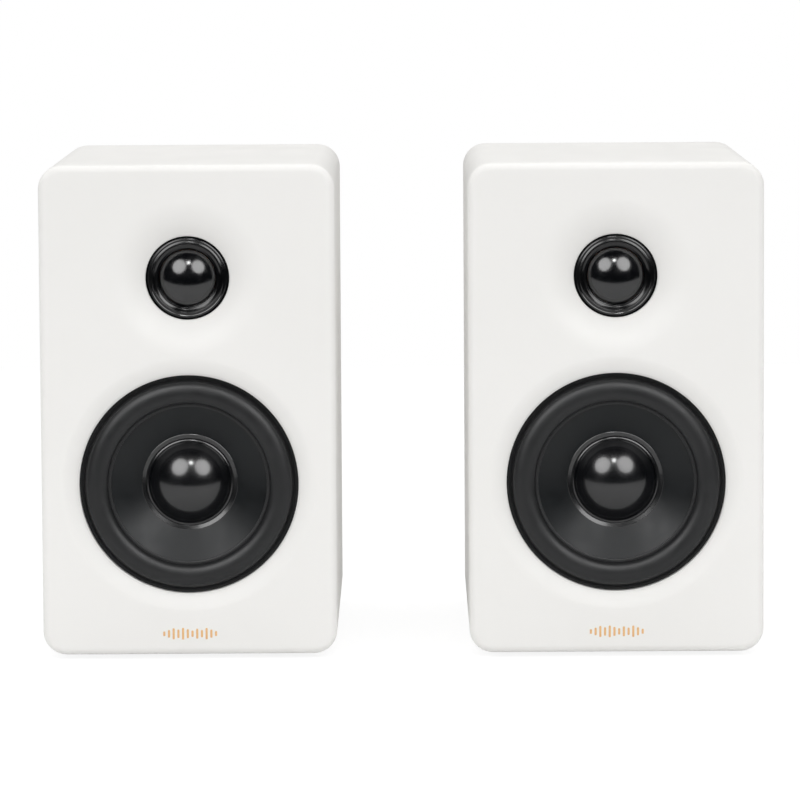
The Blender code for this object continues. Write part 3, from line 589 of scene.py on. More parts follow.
CAP_R, CAP_BASE_R, CAP_BASE, CAP_SKIN = 17.4 * MM, 14.3 * MM, 10.6 * MM, 0.8 * MM
FLANGE_IN, FLANGE_OUT, FLANGE_SLOPE = 15.1 * MM, 16.3 * MM, math.tan(math.radians(16))


def dome_arc(radius, base_r, centre, steps):
    """Points on a ball's surface, from the top of the dome to its base."""
    widest = math.asin(base_r / radius)
    points = []
    for step in range(steps + 1):
        angle = widest * step / steps
        points.append((radius * math.sin(angle), centre - radius * math.cos(angle)))
    return points


def flange_section():
    """A groove at the dome's foot, the sloping flange, and its glued underside."""
    front_edge = cone_front(FLANGE_OUT) - 0.1 * MM
    section = [(FLANGE_IN - 0.5 * MM, front_edge + 0.75 * MM),
               (FLANGE_IN - 0.1 * MM, front_edge + 0.7 * MM)]
    for radius in (FLANGE_IN, FLANGE_IN + 0.1 * MM, FLANGE_OUT - 0.1 * MM, FLANGE_OUT):
        section.append((radius, front_edge + (FLANGE_OUT - radius) * FLANGE_SLOPE))
    for radius in (FLANGE_OUT + 0.15 * MM, CAP_BASE_R):
        section.append((radius, cone_front(radius) + 0.05 * MM))
    return section


centre, foot = CAP_BASE + math.sqrt(CAP_R ** 2 - CAP_BASE_R ** 2), flange_section()
outside = dome_arc(CAP_R, CAP_BASE_R, centre, 40)
inside = dome_arc(CAP_R - CAP_SKIN, CAP_BASE_R - CAP_SKIN, centre, 20)
shown = [point for point in outside if point[1] < foot[0][1] - 0.05 * MM]
for side in SIDES:
    cap = turned(f"{side}_dust_cap", shown + foot + inside[::-1], on_baffle(f"{side}_woofer_cone"), 128)
    dress(cap, polished, f"{side}_woofer_diaphragm", [f"{side}_woofer_dust_cap"])
print("the cap's top is", round((centre - CAP_R) / MM, 2), "mm behind the baffle's plane")

# %% [markdown]
# ## The tweeter
# A gloss ring holds the dome. Inside it a tiny roll of coated silk carries the dome, which is the
# same silk, pressed thin and lacquered until it shines. The ring is turned from a section with a
# crest and a fine ridge outside it, because each narrow slope draws one thin line of light. The
# silk gets a very fine weave in its relief, just enough to break up the reflection.

# %% Make the tweeters
face_ring = Finish("tweeter_ring_gloss", (0.0022, 0.0023, 0.0028), 0.18, Specular_IOR_Level=0.4,
                   Coat_Weight=0.2, Coat_Roughness=0.08)
face_ring.vary_roughness(face_ring.noise(4 * MM), 0.04)
face_ring.relief(face_ring.noise(3 * MM, detail=1), 0.002 * MM)
silk = Finish("coated_silk", (0.003, 0.0033, 0.0042), 0.16, Coat_Weight=0.4, Coat_Roughness=0.08)
silk.vary_roughness(silk.noise(2 * MM), 0.05)
silk.relief(silk.waves(0.3 * MM, "BANDS", "X"), 0.0025 * MM)
silk.relief(silk.waves(0.3 * MM, "BANDS", "Z"), 0.0025 * MM)

flange_mm = [(14.1, 5.65, 0), (14.1, 8.3, 0), (19, 8.3, 0), (19, 10.3, 0), (10.6, 10.3, 0),
             (10.6, 7.2, 0)]
face_mm = [(10.05, 6.2, 0.12), (10.7, 6.08, 0.15), (11.5, 5.62, 0.2), (11.9, 5.25, 0.25),
           (12.35, 5.5, 0.15), (12.65, 5.58, 0.1), (13.05, 5.4, 0.15), (13.4, 5.6, 0.1)]
ring_section = softened([[size * MM for size in corner] for corner in flange_mm + face_mm], 5)
SILK_OUT, SILK_IN, SILK_BASE = 10.3 * MM, 9.5 * MM, 6.95 * MM
SILK_RISE, SILK_SKIN = 0.4 * MM, 0.25 * MM
DOME_R, DOME_BASE_R, DOME_BASE, DOME_SKIN = 14 * MM, 9.4 * MM, 5.9 * MM, 0.5 * MM


def silk_roll(inset):
    points, steps = [], 12
    middle, half = (SILK_OUT + SILK_IN) / 2, (SILK_OUT - SILK_IN) / 2
    for step in range(steps + 1):
        angle = math.pi * step / steps
        depth = SILK_BASE + inset - SILK_RISE * math.sin(angle)
        points.append((middle + (half - inset) * math.cos(angle), depth))
    return points


for side in SIDES:
    axis = on_baffle(f"{side}_tweeter_dome")
    ring = turned(f"{side}_tweeter_face", ring_section, axis, 128)
    dress(ring, face_ring, f"{side}_speaker", [f"{side}_tweeter_ring"])
    roll_section = silk_roll(0) + silk_roll(SILK_SKIN)[::-1]
    small_roll = turned(f"{side}_silk_roll", roll_section, axis, 96)
    dress(small_roll, silk, None, [f"{side}_tweeter_surround"])
    radial_blend(small_roll, axis, SILK_OUT, SILK_IN)
    centre = DOME_BASE + math.sqrt(DOME_R ** 2 - DOME_BASE_R ** 2)
    section = dome_arc(DOME_R, DOME_BASE_R, centre, 30)
    section += dome_arc(DOME_R - DOME_SKIN, DOME_BASE_R - DOME_SKIN, centre, 14)[::-1]
    dome = turned(f"{side}_silk_dome", section, axis, 96)
    dress(dome, silk, f"{side}_tweeter_diaphragm", [f"{side}_tweeter_dome"])
print("the small dome stands", round((DOME_BASE - centre + DOME_R) / MM, 2), "mm proud of its roll")

# %% [markdown]
# ## The bass port
# The port is a moulded tube whose mouth flares smoothly, so that the air doesn't chuff. Its flange
# covers the hole's raw edge. The plastic is black with a fine spark-eroded grain, which is modelled
# as relief.

# %% Mould the ports
grained = Finish("grained_black_plastic", (0.018, 0.018, 0.019), 0.48)
grained.vary_roughness(grained.noise(3 * MM), 0.06)
grained.relief(grained.cells(0.35 * MM), 0.012 * MM, 0.6)

BORE_R, TUBE_R, COLLAR_R, MOUTH_R, FLANGE_R = 13 * MM, 15 * MM, 18.7 * MM, 20.6 * MM, 23 * MM
MOUTH_DEPTH = 12 * MM


def port_section(inner_end):
    """The tube, the collar in the board's hole, the rounded flange and the flaring mouth."""
    section = [(BORE_R, inner_end), (TUBE_R, inner_end), (TUBE_R, PANEL_FACE - 9 * MM),
               (COLLAR_R, PANEL_FACE - 8 * MM), (COLLAR_R, PANEL_FACE), (FLANGE_R, PANEL_FACE),
               (FLANGE_R, REAR - 0.7 * MM), (FLANGE_R - 0.15 * MM, REAR - 0.3 * MM),
               (FLANGE_R - 0.5 * MM, REAR - 0.05 * MM), (FLANGE_R - 0.9 * MM, REAR)]
    steps = 20
    for step in range(steps + 1):
        angle = math.tau / 4 * step / steps
        radius = MOUTH_R - (MOUTH_R - BORE_R) * math.sin(angle)
        section.append((radius, REAR - MOUTH_DEPTH * (1 - math.cos(angle))))
    return section


for side in SIDES:
    middle, inner_end = centre_of(f"{side}_bass_port"), low_of(f"{side}_bass_port").y
    section = port_section(inner_end)
    port = turned(f"{side}_port", section, (middle.x, 0, middle.z), 96)
    dress(port, grained, f"{side}_speaker", [f"{side}_bass_port"])
print("each port is", round((REAR - inner_end) / MM, 1), "mm long")

# %% [markdown]
# ## Feet
# Two strips of dense foam rubber under each box stop it from sliding and buzzing. They are cut with
# a die from a sheet, so their edges are square with only a slight rounding, and the foam's cut
# cells make them dull.

# %% Cut the feet
foam = Finish("foam_rubber", (0.028, 0.028, 0.029), 0.85)
foam.vary_colour(foam.cells(0.5 * MM), (0.05, 0.05, 0.05), 0.0, 0.6)
foam.relief(foam.cells(0.5 * MM), 0.03 * MM, 0.7)
SOFT, PAD_CORNER = 0.25 * MM, 5 * MM
GLUE = 0.15 * MM  # half of the gap that the glue fills above each pad

for side in SIDES:
    for end in ("front", "rear"):
        node = f"{side}_{end}_foot"
        size, middle = measured(node)
        half = size.z / 2 + GLUE
        stations = [(size.x - 2 * inset, size.y - 2 * inset, PAD_CORNER - inset, -half + lift)
                    for inset, lift in ((SOFT, 0), (SOFT * 0.3, SOFT * 0.3), (0, SOFT), (0, 2 * half))]
        foot = lofted(f"{side}_{end}_pad", stations)
        foot.data.transform(Matrix.Rotation(math.tau / 4, 4, "X"))
        foot.location = (middle.x, middle.y, half)
        dress(foot, foam, f"{side}_speaker", [node])
print("a foot is", [round(v / MM, 1) for v in size], "mm")

# %% [markdown]
# ## The printed mark
# The front carries a small print under the woofer, in a warm copper gold: a plain row of level bars,
# like those on a sound meter. Each bar is a thin film on the lacquer, so it is a real piece and not
# a drawing on the paint.

# %% Print the level bars
ink = Finish("copper_gold_ink", (0.80, 0.47, 0.20), 0.38, 0.35)
ink.vary_colour(ink.noise(0.4 * MM), (0.86, 0.55, 0.27))
ink.relief(ink.noise(0.3 * MM), 0.004 * MM)
BAR_HEIGHTS = (1.6, 2.6, 3.8, 2.9, 4.0, 3.1, 2.2, 3.4, 2.5, 3.9, 2.8, 1.7)

BAR, PITCH, FILM, MARK_RISE = 0.75 * MM, 1.6 * MM, 0.05 * MM, 7.2 * MM

for side in SIDES:
    x, low = centre_of(f"{side}_front_baffle").x, low_of(f"{side}_front_baffle").z
    work = bmesh.new()
    for index, tall in enumerate(BAR_HEIGHTS):
        across = (index - (len(BAR_HEIGHTS) - 1) / 2) * PITCH
        rows = bridge(work, [rectangle(BAR, tall * MM, 0.3 * MM, depth, (across, 0), 4)
                             for depth in (-FILM, 0.02 * MM)])
        work.faces.new(rows[0])
        work.faces.new(rows[1])
    mark = finished(f"{side}_level_bars", work, (x, FRONT, low + MARK_RISE))
    dress(mark, ink, f"{side}_speaker")
print("the mark is", round(len(BAR_HEIGHTS) * PITCH / MM, 1), "mm long")

# %% [markdown]
# ## Plates on the rear
# A pressed steel plate, powder-coated black, closes the amplifier's opening, and a smaller one holds
# the left speaker's socket. Powder coat is a little bumpy and only half glossy. Each plate is a
# panel with its fittings' holes left open, and its edge is broken so that it shows a fine highlight.

# %% Press the plates
powder = Finish("black_powder_coat", (0.02, 0.02, 0.021), 0.42)
powder.vary_roughness(powder.noise(2 * MM), 0.06)
powder.relief(powder.noise(0.5 * MM, detail=2), 0.02 * MM, 0.7)
fittings = {"left": ["left_link_socket"],
            "right": ["right_mains_inlet", "right_switch_body", "right_link_socket",
                      "right_aux_socket", "right_usb_socket"]}
COVER, PLATE_CORNER, PLATE_EDGE = 1.2 * MM, 3 * MM, 0.25 * MM


def plate_hole(node, face, back):
    """An opening a little smaller than the fitting's rim, which covers it."""
    size, middle = measured(node)
    width, height = size.x - 2 * COVER, size.z - 2 * COVER
    round_piece = "link" in node or "aux" in node
    radius = width / 2 - 0.01 * MM if round_piece else 1.2 * MM
    return [rectangle(width, height, radius, depth, (middle.x, middle.z), 8) for depth in (face, back)]


for side in SIDES:
    node = plates[side]
    size, middle = measured(node)
    face, back = high_of(node).y, low_of(node).y
    holes = [plate_hole(fitting, face, back) for fitting in fittings[side]]
    plate = panel(f"{side}_plate", (size.x, size.z), (middle.x, middle.z), PLATE_CORNER, face, back,
                  PLATE_EDGE, holes)
    dress(plate, powder, f"{side}_speaker", [node])
    print(plate.name, "has", len(holes), "openings")

# %% [markdown]
# ## Screws
# Small cross-head screws hold the plates. One screw is modelled in full, with a domed head and a
# cross cut into it, and all the others share its mesh. The cross is cut with a boolean, because it
# is a real tool mark with sharp edges, and the cutter is thrown away afterwards.

# %% Drive the screws
zinc = Finish("black_zinc", (0.05, 0.05, 0.052), 0.3, 0.9)
zinc.vary_roughness(zinc.noise(0.6 * MM), 0.08)
HEAD_R, HEAD, HEAD_BELOW, HEAD_SUNK, SCREW_INSET = 2.3 * MM, 1 * MM, 0.9 * MM, 0.1 * MM, 4.5 * MM
SCREW_TURN = math.radians(37)  # no two screws stop at the same angle


def screw_mesh():
    section = [(0, HEAD_BELOW), (HEAD_R, HEAD_BELOW)]
    for step in range(9):
        angle = math.tau / 4 * step / 8
        section.append((HEAD_R * math.cos(angle) ** 0.7, HEAD_SUNK - HEAD * math.sin(angle)))
    section[-1] = (0, HEAD_SUNK - HEAD)
    screw = turned("screw_pattern", section, (0, 0, 0), 32)
    cutters = []
    for width, height in ((0.55 * MM, 2.6 * MM), (2.6 * MM, 0.55 * MM)):
        stations = [(width, height, 0.1 * MM, -2 * MM), (width, height, 0.1 * MM, -0.45 * MM),
                    (width * 0.5, height * 0.5, 0.1 * MM, -0.1 * MM)]
        cutter = lofted("cross_cutter", stations, steps=1)
        cut = screw.modifiers.new("cross", "BOOLEAN")
        cut.object, cut.solver = cutter, "EXACT"
        cutters.append(cutter)
    graph = bpy.context.evaluated_depsgraph_get()
    mesh = bpy.data.meshes.new_from_object(screw.evaluated_get(graph))
    mesh.name = "cross_head_screw"
    mesh.materials.clear()
    mesh.materials.append(zinc.material)
    for spare in cutters + [screw]:
        bpy.data.objects.remove(spare)
    return mesh


screw_head = screw_mesh()
screw_count = 0
for side in SIDES:
    node = plates[side]
    (size, middle), face = measured(node), high_of(node).y
    reach_x, reach_z = size.x / 2 - SCREW_INSET, size.z / 2 - SCREW_INSET
    for across in (-1, 1):
        for up in (-1, 1):
            screw_count += 1
            screw = bpy.data.objects.new(f"{side}_plate_screw_{screw_count}", screw_head)
            screw.location = (middle.x + across * reach_x, face, middle.z + up * reach_z)
            screw.rotation_euler = (0, SCREW_TURN * screw_count, math.pi)
            bpy.context.scene.collection.objects.link(screw)
            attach(screw, f"{side}_speaker")
print(screw_count, "screws share", len(screw_head.polygons), "faces")

# %% [markdown]
# ## Sockets and switch
# The fittings are what the hand and eye meet at the rear: a two-pin mains inlet, a rocker switch, a
# round link socket with four pins, an audio socket and a flat data socket. Each housing is lofted
# from its rim into its mouth and down to its floor, and metal pins and shells are separate pieces.

# %% Mould the sockets
socket_black = Finish("socket_plastic", (0.012, 0.012, 0.013), 0.35)
socket_black.vary_roughness(socket_black.noise(2 * MM), 0.05)
socket_black.relief(socket_black.noise(0.3 * MM, detail=2), 0.004 * MM)
nickel = Finish("nickel_plate", (0.72, 0.70, 0.66), 0.22, 1.0)
nickel.vary_roughness(nickel.noise(0.8 * MM), 0.06)
gold = Finish("gold_contact", (0.86, 0.62, 0.25), 0.25, 1.0)
gold.vary_roughness(gold.noise(0.5 * MM), 0.06)
RIM_WIDTH, BEND, LIP = 1.5 * MM, 0.35 * MM, 0.25 * MM
NEARLY = 0.01 * MM  # keeps a round socket's loops from closing up on their flat sides
ROOT = 0.1 * MM  # how far a pin starts below its socket's floor


def socket_housing(name, node, mouth, mouth_r, floor, rim_r, steps=8):
    """A rim on the plate, a body behind it, and a mouth sunk into it."""
    low, high, middle = low_of(node), high_of(node), centre_of(node)
    width, height, face = high.x - low.x, high.z - low.z, high.y
    body_w, body_h = width - 2 * RIM_WIDTH, height - 2 * RIM_WIDTH
    is_round = rim_r > min(width, height) / 2 - 1 * MM
    body_r = min(body_w, body_h) / 2 - 2 * NEARLY if is_round else 1 * MM
    stations = [(body_w, body_h, body_r, low.y), (body_w, body_h, body_r, face - 1 * MM),
                (width, height, rim_r, face - 0.9 * MM), (width, height, rim_r, face - BEND),
                (width - BEND * 0.5, height - BEND * 0.5, rim_r - BEND * 0.25, face - BEND * 0.3),
                (width - BEND * 2, height - BEND * 2, rim_r - BEND, face),
                (mouth[0] + 2 * LIP, mouth[1] + 2 * LIP, mouth_r + LIP, face),
                (mouth[0], mouth[1], mouth_r, face - 0.3 * MM), (mouth[0], mouth[1], mouth_r, floor)]
    piece = lofted(name, stations, (middle.x, 0, middle.z), steps)
    return dress(piece, socket_black, f"{node.split('_')[0]}_speaker", [node])


def pin(name, at, radius, start, end, finish, side, sides=24):
    """A round contact pin with a domed tip that points to the rear."""
    section = [(0, start), (radius, start)]
    for step in range(7):
        angle = math.tau / 4 * step / 6
        section.append((radius * math.cos(angle), end - radius + radius * math.sin(angle)))
    section[-1] = (0, end)
    piece = turned(name, section, (at[0], 0, at[1]), sides)
    return dress(piece, finish, f"{side}_speaker")


# %% Fit the mains inlet
INLET_FLOOR, INLET_PIN_R, INLET_PIN_X, INLET_PIN = 61 * MM, 1.15 * MM, 4.3 * MM, 8 * MM
inlet = centre_of("right_mains_inlet")
socket_housing("right_inlet", "right_mains_inlet", (17 * MM, 8.6 * MM), 4.25 * MM, INLET_FLOOR, 2 * MM)
for number, across in enumerate((-INLET_PIN_X, INLET_PIN_X)):
    pin(f"right_inlet_pin_{number + 1}", (inlet.x + across, inlet.z), INLET_PIN_R, INLET_FLOOR - ROOT,
        INLET_FLOOR + INLET_PIN, nickel, "right")
print("the inlet's pins are", round(2 * INLET_PIN_X / MM, 1), "mm apart")

# %% Fit the link sockets
LINK_FLOOR, LINK_MOUTH = 62.5 * MM, 9.4 * MM
LINK_PIN_R, LINK_PIN_RING, LINK_PIN = 0.45 * MM, 2.6 * MM, 3.4 * MM
KEY_SIZE, KEY_DROP = (1.8 * MM, 1.2 * MM, 0.2 * MM), 4.3 * MM
for side in SIDES:
    node = f"{side}_link_socket"
    middle, rim = centre_of(node), (high_of(node).x - low_of(node).x) / 2
    socket_housing(f"{side}_link", node, (LINK_MOUTH, LINK_MOUTH), LINK_MOUTH / 2 - NEARLY, LINK_FLOOR,
                   rim - NEARLY, 16)
    for number in range(4):
        angle = math.tau * (number + 0.5) / 4
        at = (middle.x + LINK_PIN_RING * math.cos(angle), middle.z + LINK_PIN_RING * math.sin(angle))
        pin(f"{side}_link_pin_{number + 1}", at, LINK_PIN_R, LINK_FLOOR - ROOT, LINK_FLOOR + LINK_PIN,
            gold, side, 16)
    key = lofted(f"{side}_link_key", [(*KEY_SIZE, LINK_FLOOR), (*KEY_SIZE, REAR - 1.5 * MM)],
                 (middle.x, 0, middle.z - KEY_DROP), 3)
    dress(key, socket_black, f"{side}_speaker")
print("each link socket has 4 pins on a circle of", round(2 * LINK_PIN_RING / MM, 1), "mm")

# %% Fit the audio and data sockets
AUX_MOUTH, AUX_FLOOR, SLEEVE_FLOOR = 3.8 * MM, 62.5 * MM, 63.5 * MM
SLEEVE_IN, SLEEVE_OUT, SLEEVE_FLANGE = 1.75 * MM, 1.87 * MM, 2.75 * MM
aux_size, aux = measured("right_aux_socket")
socket_housing("right_aux", "right_aux_socket", (AUX_MOUTH, AUX_MOUTH), AUX_MOUTH / 2 - NEARLY,
               AUX_FLOOR, aux_size.x / 2 - NEARLY, 16)
under, over = REAR - 0.05 * MM, REAR + 0.12 * MM
sleeve_section = softened([(SLEEVE_IN, SLEEVE_FLOOR, 0), (SLEEVE_OUT, SLEEVE_FLOOR, 0),
                           (SLEEVE_OUT, under, 0), (SLEEVE_FLANGE, under, 0),
                           (SLEEVE_FLANGE, over, 0.1 * MM), (SLEEVE_IN, over, 0.2 * MM)])
sleeve = turned("right_aux_sleeve", sleeve_section, (aux.x, 0, aux.z), 48)
dress(sleeve, nickel, "right_speaker")

usb, usb_floor = centre_of("right_usb_socket"), 62 * MM
socket_housing("right_usb", "right_usb_socket", (9 * MM, 3.4 * MM), 1.69 * MM, usb_floor, 2.9 * MM, 12)
shell_out, shell_in = (8.9 * MM, 3.3 * MM, 1.6 * MM), (8.3 * MM, 2.7 * MM, 1.3 * MM)
shell_end, tongue_size = REAR - 0.5 * MM, (6.6 * MM, 0.7 * MM, 0.2 * MM)
shell = lofted("right_usb_shell", [(*shell_out, usb_floor + 0.2 * MM), (*shell_out, shell_end),
                                   (*shell_in, shell_end), (*shell_in, usb_floor + 0.5 * MM)],
               (usb.x, 0, usb.z), 12)
dress(shell, nickel, "right_speaker")
tongue_stations = [(*tongue_size, usb_floor + 0.3 * MM), (*tongue_size, REAR - 1.8 * MM),
                   (6.2 * MM, 0.4 * MM, 0.15 * MM, REAR - 1.5 * MM)]
tongue = lofted("right_usb_tongue", tongue_stations, (usb.x, 0, usb.z), 3)
dress(tongue, socket_black, "right_speaker")
print("fittings on the right plate:", len(fittings["right"]))

# %% [markdown]
# ## The power rocker
# The rocker lies in its well with one end up, and pivots about a pin across its middle. Its side
# view is drawn once with a dip for the finger and pulled across the width, then its edges are
# bevelled. A raised line and a raised ring are the usual marks for on and off.

# %% Make the rocker
WELL, WELL_FLOOR = (10.6 * MM, 16.6 * MM), 62.6 * MM
socket_housing("right_switch_frame", "right_switch_body", WELL, 0.8 * MM, WELL_FLOOR, 1.5 * MM)
pivot = Vector(next(j["pos_m"] for j in frame["joints"] if j["name"] == "power_switch"))
TILT = math.radians(-10)
REACH, ROCKER_HALF = 7.2 * MM, 5 * MM
DIP, DIP_RISE, DIP_POWER = 1.9 * MM, 1.7 * MM, 1.7


def dip(up):
    """How far the rocker's face stands out of its pivot at this height."""
    return DIP + DIP_RISE * (abs(up) / REACH) ** DIP_POWER


def rocker_side():
    """The rocker's side view as (depth, height) points, starting with the finger's dip."""
    steps = 16
    heights = [REACH - 2 * REACH * step / steps for step in range(steps + 1)]
    belly = [(2.2 * MM, REACH + 0.25 * MM), (0, REACH + 0.3 * MM), (-2.5 * MM, 4.3 * MM)]
    points = [(dip(up), up) for up in heights] + [(depth, -up) for depth, up in belly]
    return points + [(-3.6 * MM, 0)] + belly[::-1]


work = bmesh.new()
rows = bridge(work, [[(across, depth, up) for depth, up in rocker_side()]
                     for across in (-ROCKER_HALF, ROCKER_HALF)])
for row in rows:
    work.faces.new(row)
ends = [edge for row in rows for edge in work.edges if all(vertex in row for vertex in edge.verts)]
bmesh.ops.bevel(work, geom=ends, offset=0.3 * MM, segments=3, profile=0.5, affect="EDGES")
rocker = finished("right_rocker", work, pivot)
rocker.rotation_euler = (TILT, 0, 0)
dress(rocker, socket_black, "power_rocker", ["right_switch_rocker"])

# %% Mark on and off
mark_white = Finish("white_marking", (0.8, 0.8, 0.79), 0.5)
mark_white.relief(mark_white.noise(0.3 * MM), 0.004 * MM)
MARK, MARK_UP, MARK_SUNK = 0.12 * MM, 4.3 * MM, 0.03 * MM
line, ring_in, ring_out = (0.6 * MM, 2.6 * MM, 0.2 * MM), 0.75 * MM, 1.25 * MM
on_line = lofted("right_on_line", [(*line, 0), (*line, MARK)], steps=3)
off_ring = turned("right_off_ring", [(ring_in, 0), (ring_out, 0), (ring_out, MARK), (ring_in, MARK)],
                  (0, 0, 0), 32)
for piece, up in ((on_line, MARK_UP), (off_ring, -MARK_UP)):
    rise = (dip(up + 0.1 * MM) - dip(up - 0.1 * MM)) / (0.2 * MM)
    lean = Matrix.Rotation(-math.atan(rise), 4, "X")
    piece.data.transform(Matrix.Translation((0, dip(up) - MARK_SUNK, up)) @ lean)
    piece.location, piece.rotation_euler = pivot, (TILT, 0, 0)
    dress(piece, mark_white, "power_rocker")
print("the rocker's pivot is at", [round(v / MM, 1) for v in pivot])

# %% [markdown]
# ## What is inside
# The magnets, frames, coils and boards are closed in, so their CAD solids stay as they are and only
# get their finishes. The damping block is the exception: it is loose polyester fibre, so it is
# rebuilt as a soft, uneven cushion.

# %% Finish the inner pieces
steel = Finish("zinc_plated_steel", (0.55, 0.55, 0.54), 0.36, 1.0)
steel.vary_roughness(steel.noise(0.8 * MM, stretch=(1, 6, 1)), 0.08)
steel.relief(steel.waves(0.5 * MM, "RINGS", "Y"), 0.003 * MM)
ferrite = Finish("ground_ferrite", (0.055, 0.055, 0.06), 0.62)
ferrite.vary_colour(ferrite.noise(1.2 * MM), (0.09, 0.09, 0.095))
ferrite.relief(ferrite.noise(0.4 * MM), 0.01 * MM)
copper = Finish("enamelled_copper", (0.68, 0.31, 0.16), 0.28, 1.0)
copper.relief(copper.waves(0.25 * MM, "BANDS", "Y"), 0.05 * MM)
copper.vary_roughness(copper.noise(1 * MM), 0.06)
cloth = Finish("stiffened_cloth", (0.52, 0.36, 0.15), 0.85)
cloth.vary_colour(cloth.noise(0.6 * MM), (0.6, 0.44, 0.22))
cloth.relief(cloth.waves(0.5 * MM, "BANDS", "X"), 0.05 * MM)
cloth.relief(cloth.waves(0.5 * MM, "BANDS", "Z"), 0.05 * MM)
solder_mask = Finish("green_circuit_board", (0.02, 0.12, 0.06), 0.35, Coat_Weight=0.3)
solder_mask.vary_colour(solder_mask.cells(2.5 * MM, "DISTANCE_TO_EDGE"), (0.05, 0.24, 0.12), 0.05, 0.1)
solder_mask.vary_roughness(solder_mask.noise(2 * MM), 0.06)
extruded_aluminium = Finish("extruded_aluminium", (0.74, 0.74, 0.75), 0.34, 1.0)
extruded_aluminium.vary_roughness(extruded_aluminium.noise(0.4 * MM, stretch=(1, 1, 0.05)), 0.08)
extruded_aluminium.relief(extruded_aluminium.noise(0.3 * MM, stretch=(1, 1, 0.05)), 0.008 * MM)
fibre = Finish("polyester_fibre", (0.82, 0.82, 0.80), 0.95, Sheen_Weight=0.3)
fibre.vary_colour(fibre.noise(2 * MM, detail=6), (0.7, 0.7, 0.68))
fibre.relief(fibre.noise(0.8 * MM, detail=8), 0.4 * MM)

inner_finishes = {"woofer_basket": powder, "woofer_voice_coil": copper, "woofer_spider": cloth,
                  "woofer_top_plate": steel, "woofer_magnet": ferrite, "woofer_yoke": steel,
                  "tweeter_voice_coil": copper, "tweeter_cup": steel, "tweeter_magnet": nickel,
                  "tweeter_pole_cap": steel, "amp_board": solder_mask, "power_board": solder_mask,
                  "touch_board": solder_mask, "heatsink": extruded_aluminium}
painted = 0
for name, node in frame["nodes"].items():
    finish = inner_finishes.get(name.split("_", 1)[1])
    if finish:
        node.data.materials.clear()
        node.data.materials.append(finish.material)
        painted += 1
print(painted, "inner nodes have a finish")

# %% Stuff the damping blocks
PUFF = 0.8 * MM
for side in SIDES:
    node = f"{side}_wadding"
    size, middle = measured(node)
    work = bmesh.new()
    bmesh.ops.create_cube(work, size=1, matrix=Matrix.Diagonal((*(size * 0.94), 1)))
    bmesh.ops.subdivide_edges(work, edges=work.edges, cuts=6, use_grid_fill=True)
    block = finished(f"{side}_damping_block", work, middle, 180)
    for vertex in block.data.vertices:
        wave = math.sin(vertex.co.x * 190 + 1.3) * math.cos(vertex.co.y * 160 + vertex.co.z * 90)
        vertex.co += vertex.co.normalized() * wave * PUFF
    smooth = block.modifiers.new("soft", "SUBSURF")
    smooth.levels = smooth.render_levels = 1
    dress(block, fibre, f"{side}_speaker", [node])
print("a damping block is", [round(v / MM) for v in size], "mm")

# %% [markdown]
# ## Camera
# The camera stands about 1.7 m away with a long lens, a little above the boxes and tilted down, so
# that the fronts look almost square and a strip of each top shows. It is placed with a matrix built
# from its yaw, pitch and roll.

# %% Set the camera
SENSOR, LENS = 36.0, 227.565
DISTANCE, CAMERA_X, CAMERA_Z = 1.7026, 2.88 * MM, 256.2 * MM
yaw, pitch, roll_angle = math.radians(-0.121), math.radians(5.638), math.radians(-0.334)
forward = Vector((math.sin(yaw) * math.cos(pitch), math.cos(yaw) * math.cos(pitch), -math.sin(pitch)))
right = Vector((math.cos(yaw), -math.sin(yaw), 0))
up = right.cross(forward)
rolled_right = right * math.cos(roll_angle) + up * math.sin(roll_angle)
rolled_up = up * math.cos(roll_angle) - right * math.sin(roll_angle)
pose = Matrix((rolled_right, rolled_up, -forward)).transposed().to_4x4()
pose.translation = (CAMERA_X, FRONT - DISTANCE, CAMERA_Z)
camera_data = bpy.data.cameras.new("camera")
camera_data.sensor_width, camera_data.lens = SENSOR, LENS
camera_data.clip_end = 100
camera = bpy.data.objects.new("camera", camera_data)
camera.matrix_world = pose
bpy.context.scene.collection.objects.link(camera)
bpy.context.scene.camera = camera
print("lens", round(camera_data.lens, 1), "mm")

# %% [markdown]
# ## Light and floor
# Gloss and matt paint want different lamps, so each lamp does one job. Two wide keys in front and a
# lamp overhead light the boxes but aren't mirrored. Two ovals and a small spark between them only
# mirror in the gloss, where the domes show them as two soft spots with a bright point. Light linking
# keeps those off the walls and the rear boards, which would glare when seen from behind. The even
# white room adds plain fill. The floor is a pale sheet that ends a little in front of the boxes, and
# it mirrors in the lower half of the domes.

# %% Light the scene
mirroring_pieces = bpy.data.collections.new("mirroring_pieces")
for piece in bpy.data.objects:
    if piece.type == "MESH" and not piece.name.endswith(("_walls", "_rear_board")):
        mirroring_pieces.objects.link(piece)


def softbox(name, azimuth, elevation, distance, size, power, mirrored):
    """An oval lamp that faces the speakers. It either shows in their gloss or lights their paint."""
    lamp = bpy.data.lights.new(name, "AREA")
    lamp.shape, lamp.energy = "ELLIPSE", power
    lamp.size, lamp.size_y = size
    azimuth, elevation = math.radians(azimuth), math.radians(elevation)
    out = Vector((math.sin(azimuth) * math.cos(elevation), -math.cos(azimuth) * math.cos(elevation),
                  math.sin(elevation)))
    holder = bpy.data.objects.new(name, lamp)
    holder.location = Vector((0, FRONT, 85 * MM)) + out * distance
    holder.rotation_euler = (-out).to_track_quat("-Z", "Y").to_euler()
    holder.visible_diffuse, holder.visible_glossy = not mirrored, mirrored
    if mirrored:
        holder.light_linking.receiver_collection = mirroring_pieces
    bpy.context.scene.collection.objects.link(holder)


for name, way in (("left", -1), ("right", 1)):
    softbox(f"key_{name}", 41 * way, 45, 1.5, (1.35, 1.05), 4.6, mirrored=False)
    softbox(f"oval_{name}", 30 * way, 30, 1.5, (0.96, 1.0), 15, mirrored=True)
softbox("spark", 0, 42, 2.4, (0.36, 0.36), 9, mirrored=True)
softbox("overhead", 180, 75, 1.4, (1.2, 0.8), 6.5, mirrored=False)

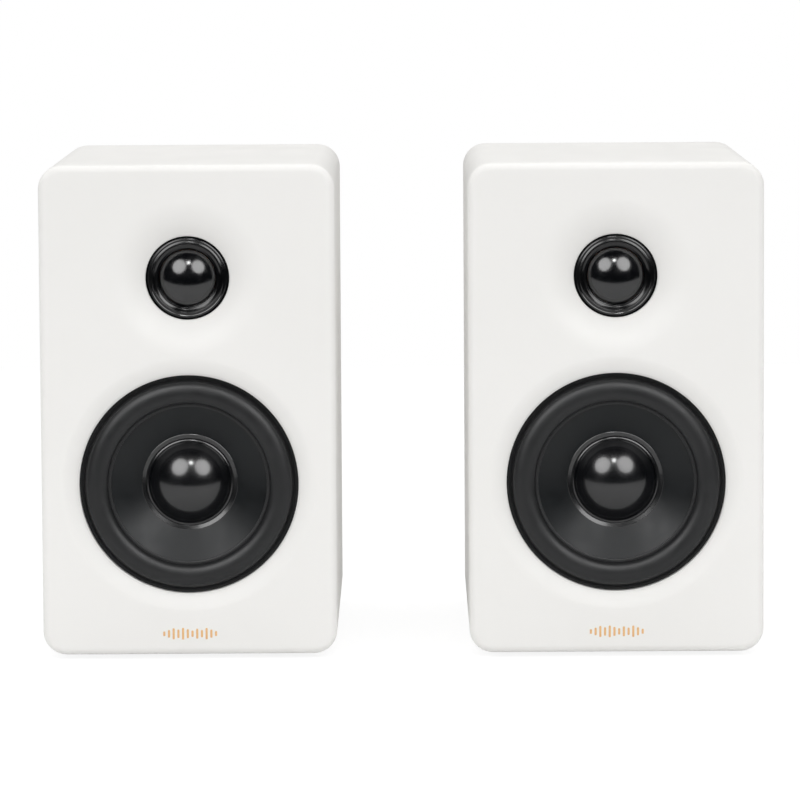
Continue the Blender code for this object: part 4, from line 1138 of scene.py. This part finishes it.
# %% [markdown]
# ## The white surroundings
# A studio's white backdrop is lit on its own until it is pure white. Here the room and the floor
# glow white for what the camera sees directly, and keep their plain light for all else.

# %% Whiten the room and lay the floor
FLOOR_HALF, FLOOR_FRONT, FLOOR_REAR = 1.2, FRONT - 0.29, 1.0


def white_to_the_camera(tree, shader, strength, share):
    """Mixes a plain white glow over a shader, for what the camera sees directly and nothing else."""
    glow = tree.nodes.new("ShaderNodeEmission")
    glow.inputs["Strength"].default_value = strength
    rays = tree.nodes.new("ShaderNodeLightPath")
    part = tree.nodes.new("ShaderNodeMath")
    part.operation = "MULTIPLY"
    part.inputs[1].default_value = share
    mix = tree.nodes.new("ShaderNodeMixShader")
    tree.links.new(rays.outputs["Is Camera Ray"], part.inputs[0])
    tree.links.new(part.outputs[0], mix.inputs["Fac"])
    tree.links.new(shader, mix.inputs[1])
    tree.links.new(glow.outputs["Emission"], mix.inputs[2])
    return mix.outputs["Shader"]


world = bpy.data.worlds.new("studio")
bpy.context.scene.world = world
world.use_nodes = True
room = world.node_tree.nodes["Background"]
room.inputs["Color"].default_value = (1, 1, 1, 1)
room.inputs["Strength"].default_value = 0.66
world.cycles_visibility.glossy = False
seen = white_to_the_camera(world.node_tree, room.outputs["Background"], 1.0, 1.0)
world.node_tree.links.new(seen, world.node_tree.nodes["World Output"].inputs["Surface"])

pale = Finish("pale_floor", (0.88, 0.88, 0.88), 0.7)
seen = white_to_the_camera(pale.tree, pale.shader.outputs["BSDF"], 1.1, 0.8)
pale.join(seen, pale.tree.nodes["Material Output"].inputs["Surface"])
work = bmesh.new()
corners = [(-FLOOR_HALF, FLOOR_FRONT, 0), (FLOOR_HALF, FLOOR_FRONT, 0), (FLOOR_HALF, FLOOR_REAR, 0),
           (-FLOOR_HALF, FLOOR_REAR, 0)]
work.faces.new([work.verts.new(corner) for corner in corners])
floor = finished("floor", work)
floor.data.materials.append(pale.material)
mirroring_pieces.objects.link(floor)
bpy.context.scene.view_settings.view_transform = "Standard"
print("the floor is", 2 * FLOOR_HALF, "m wide")
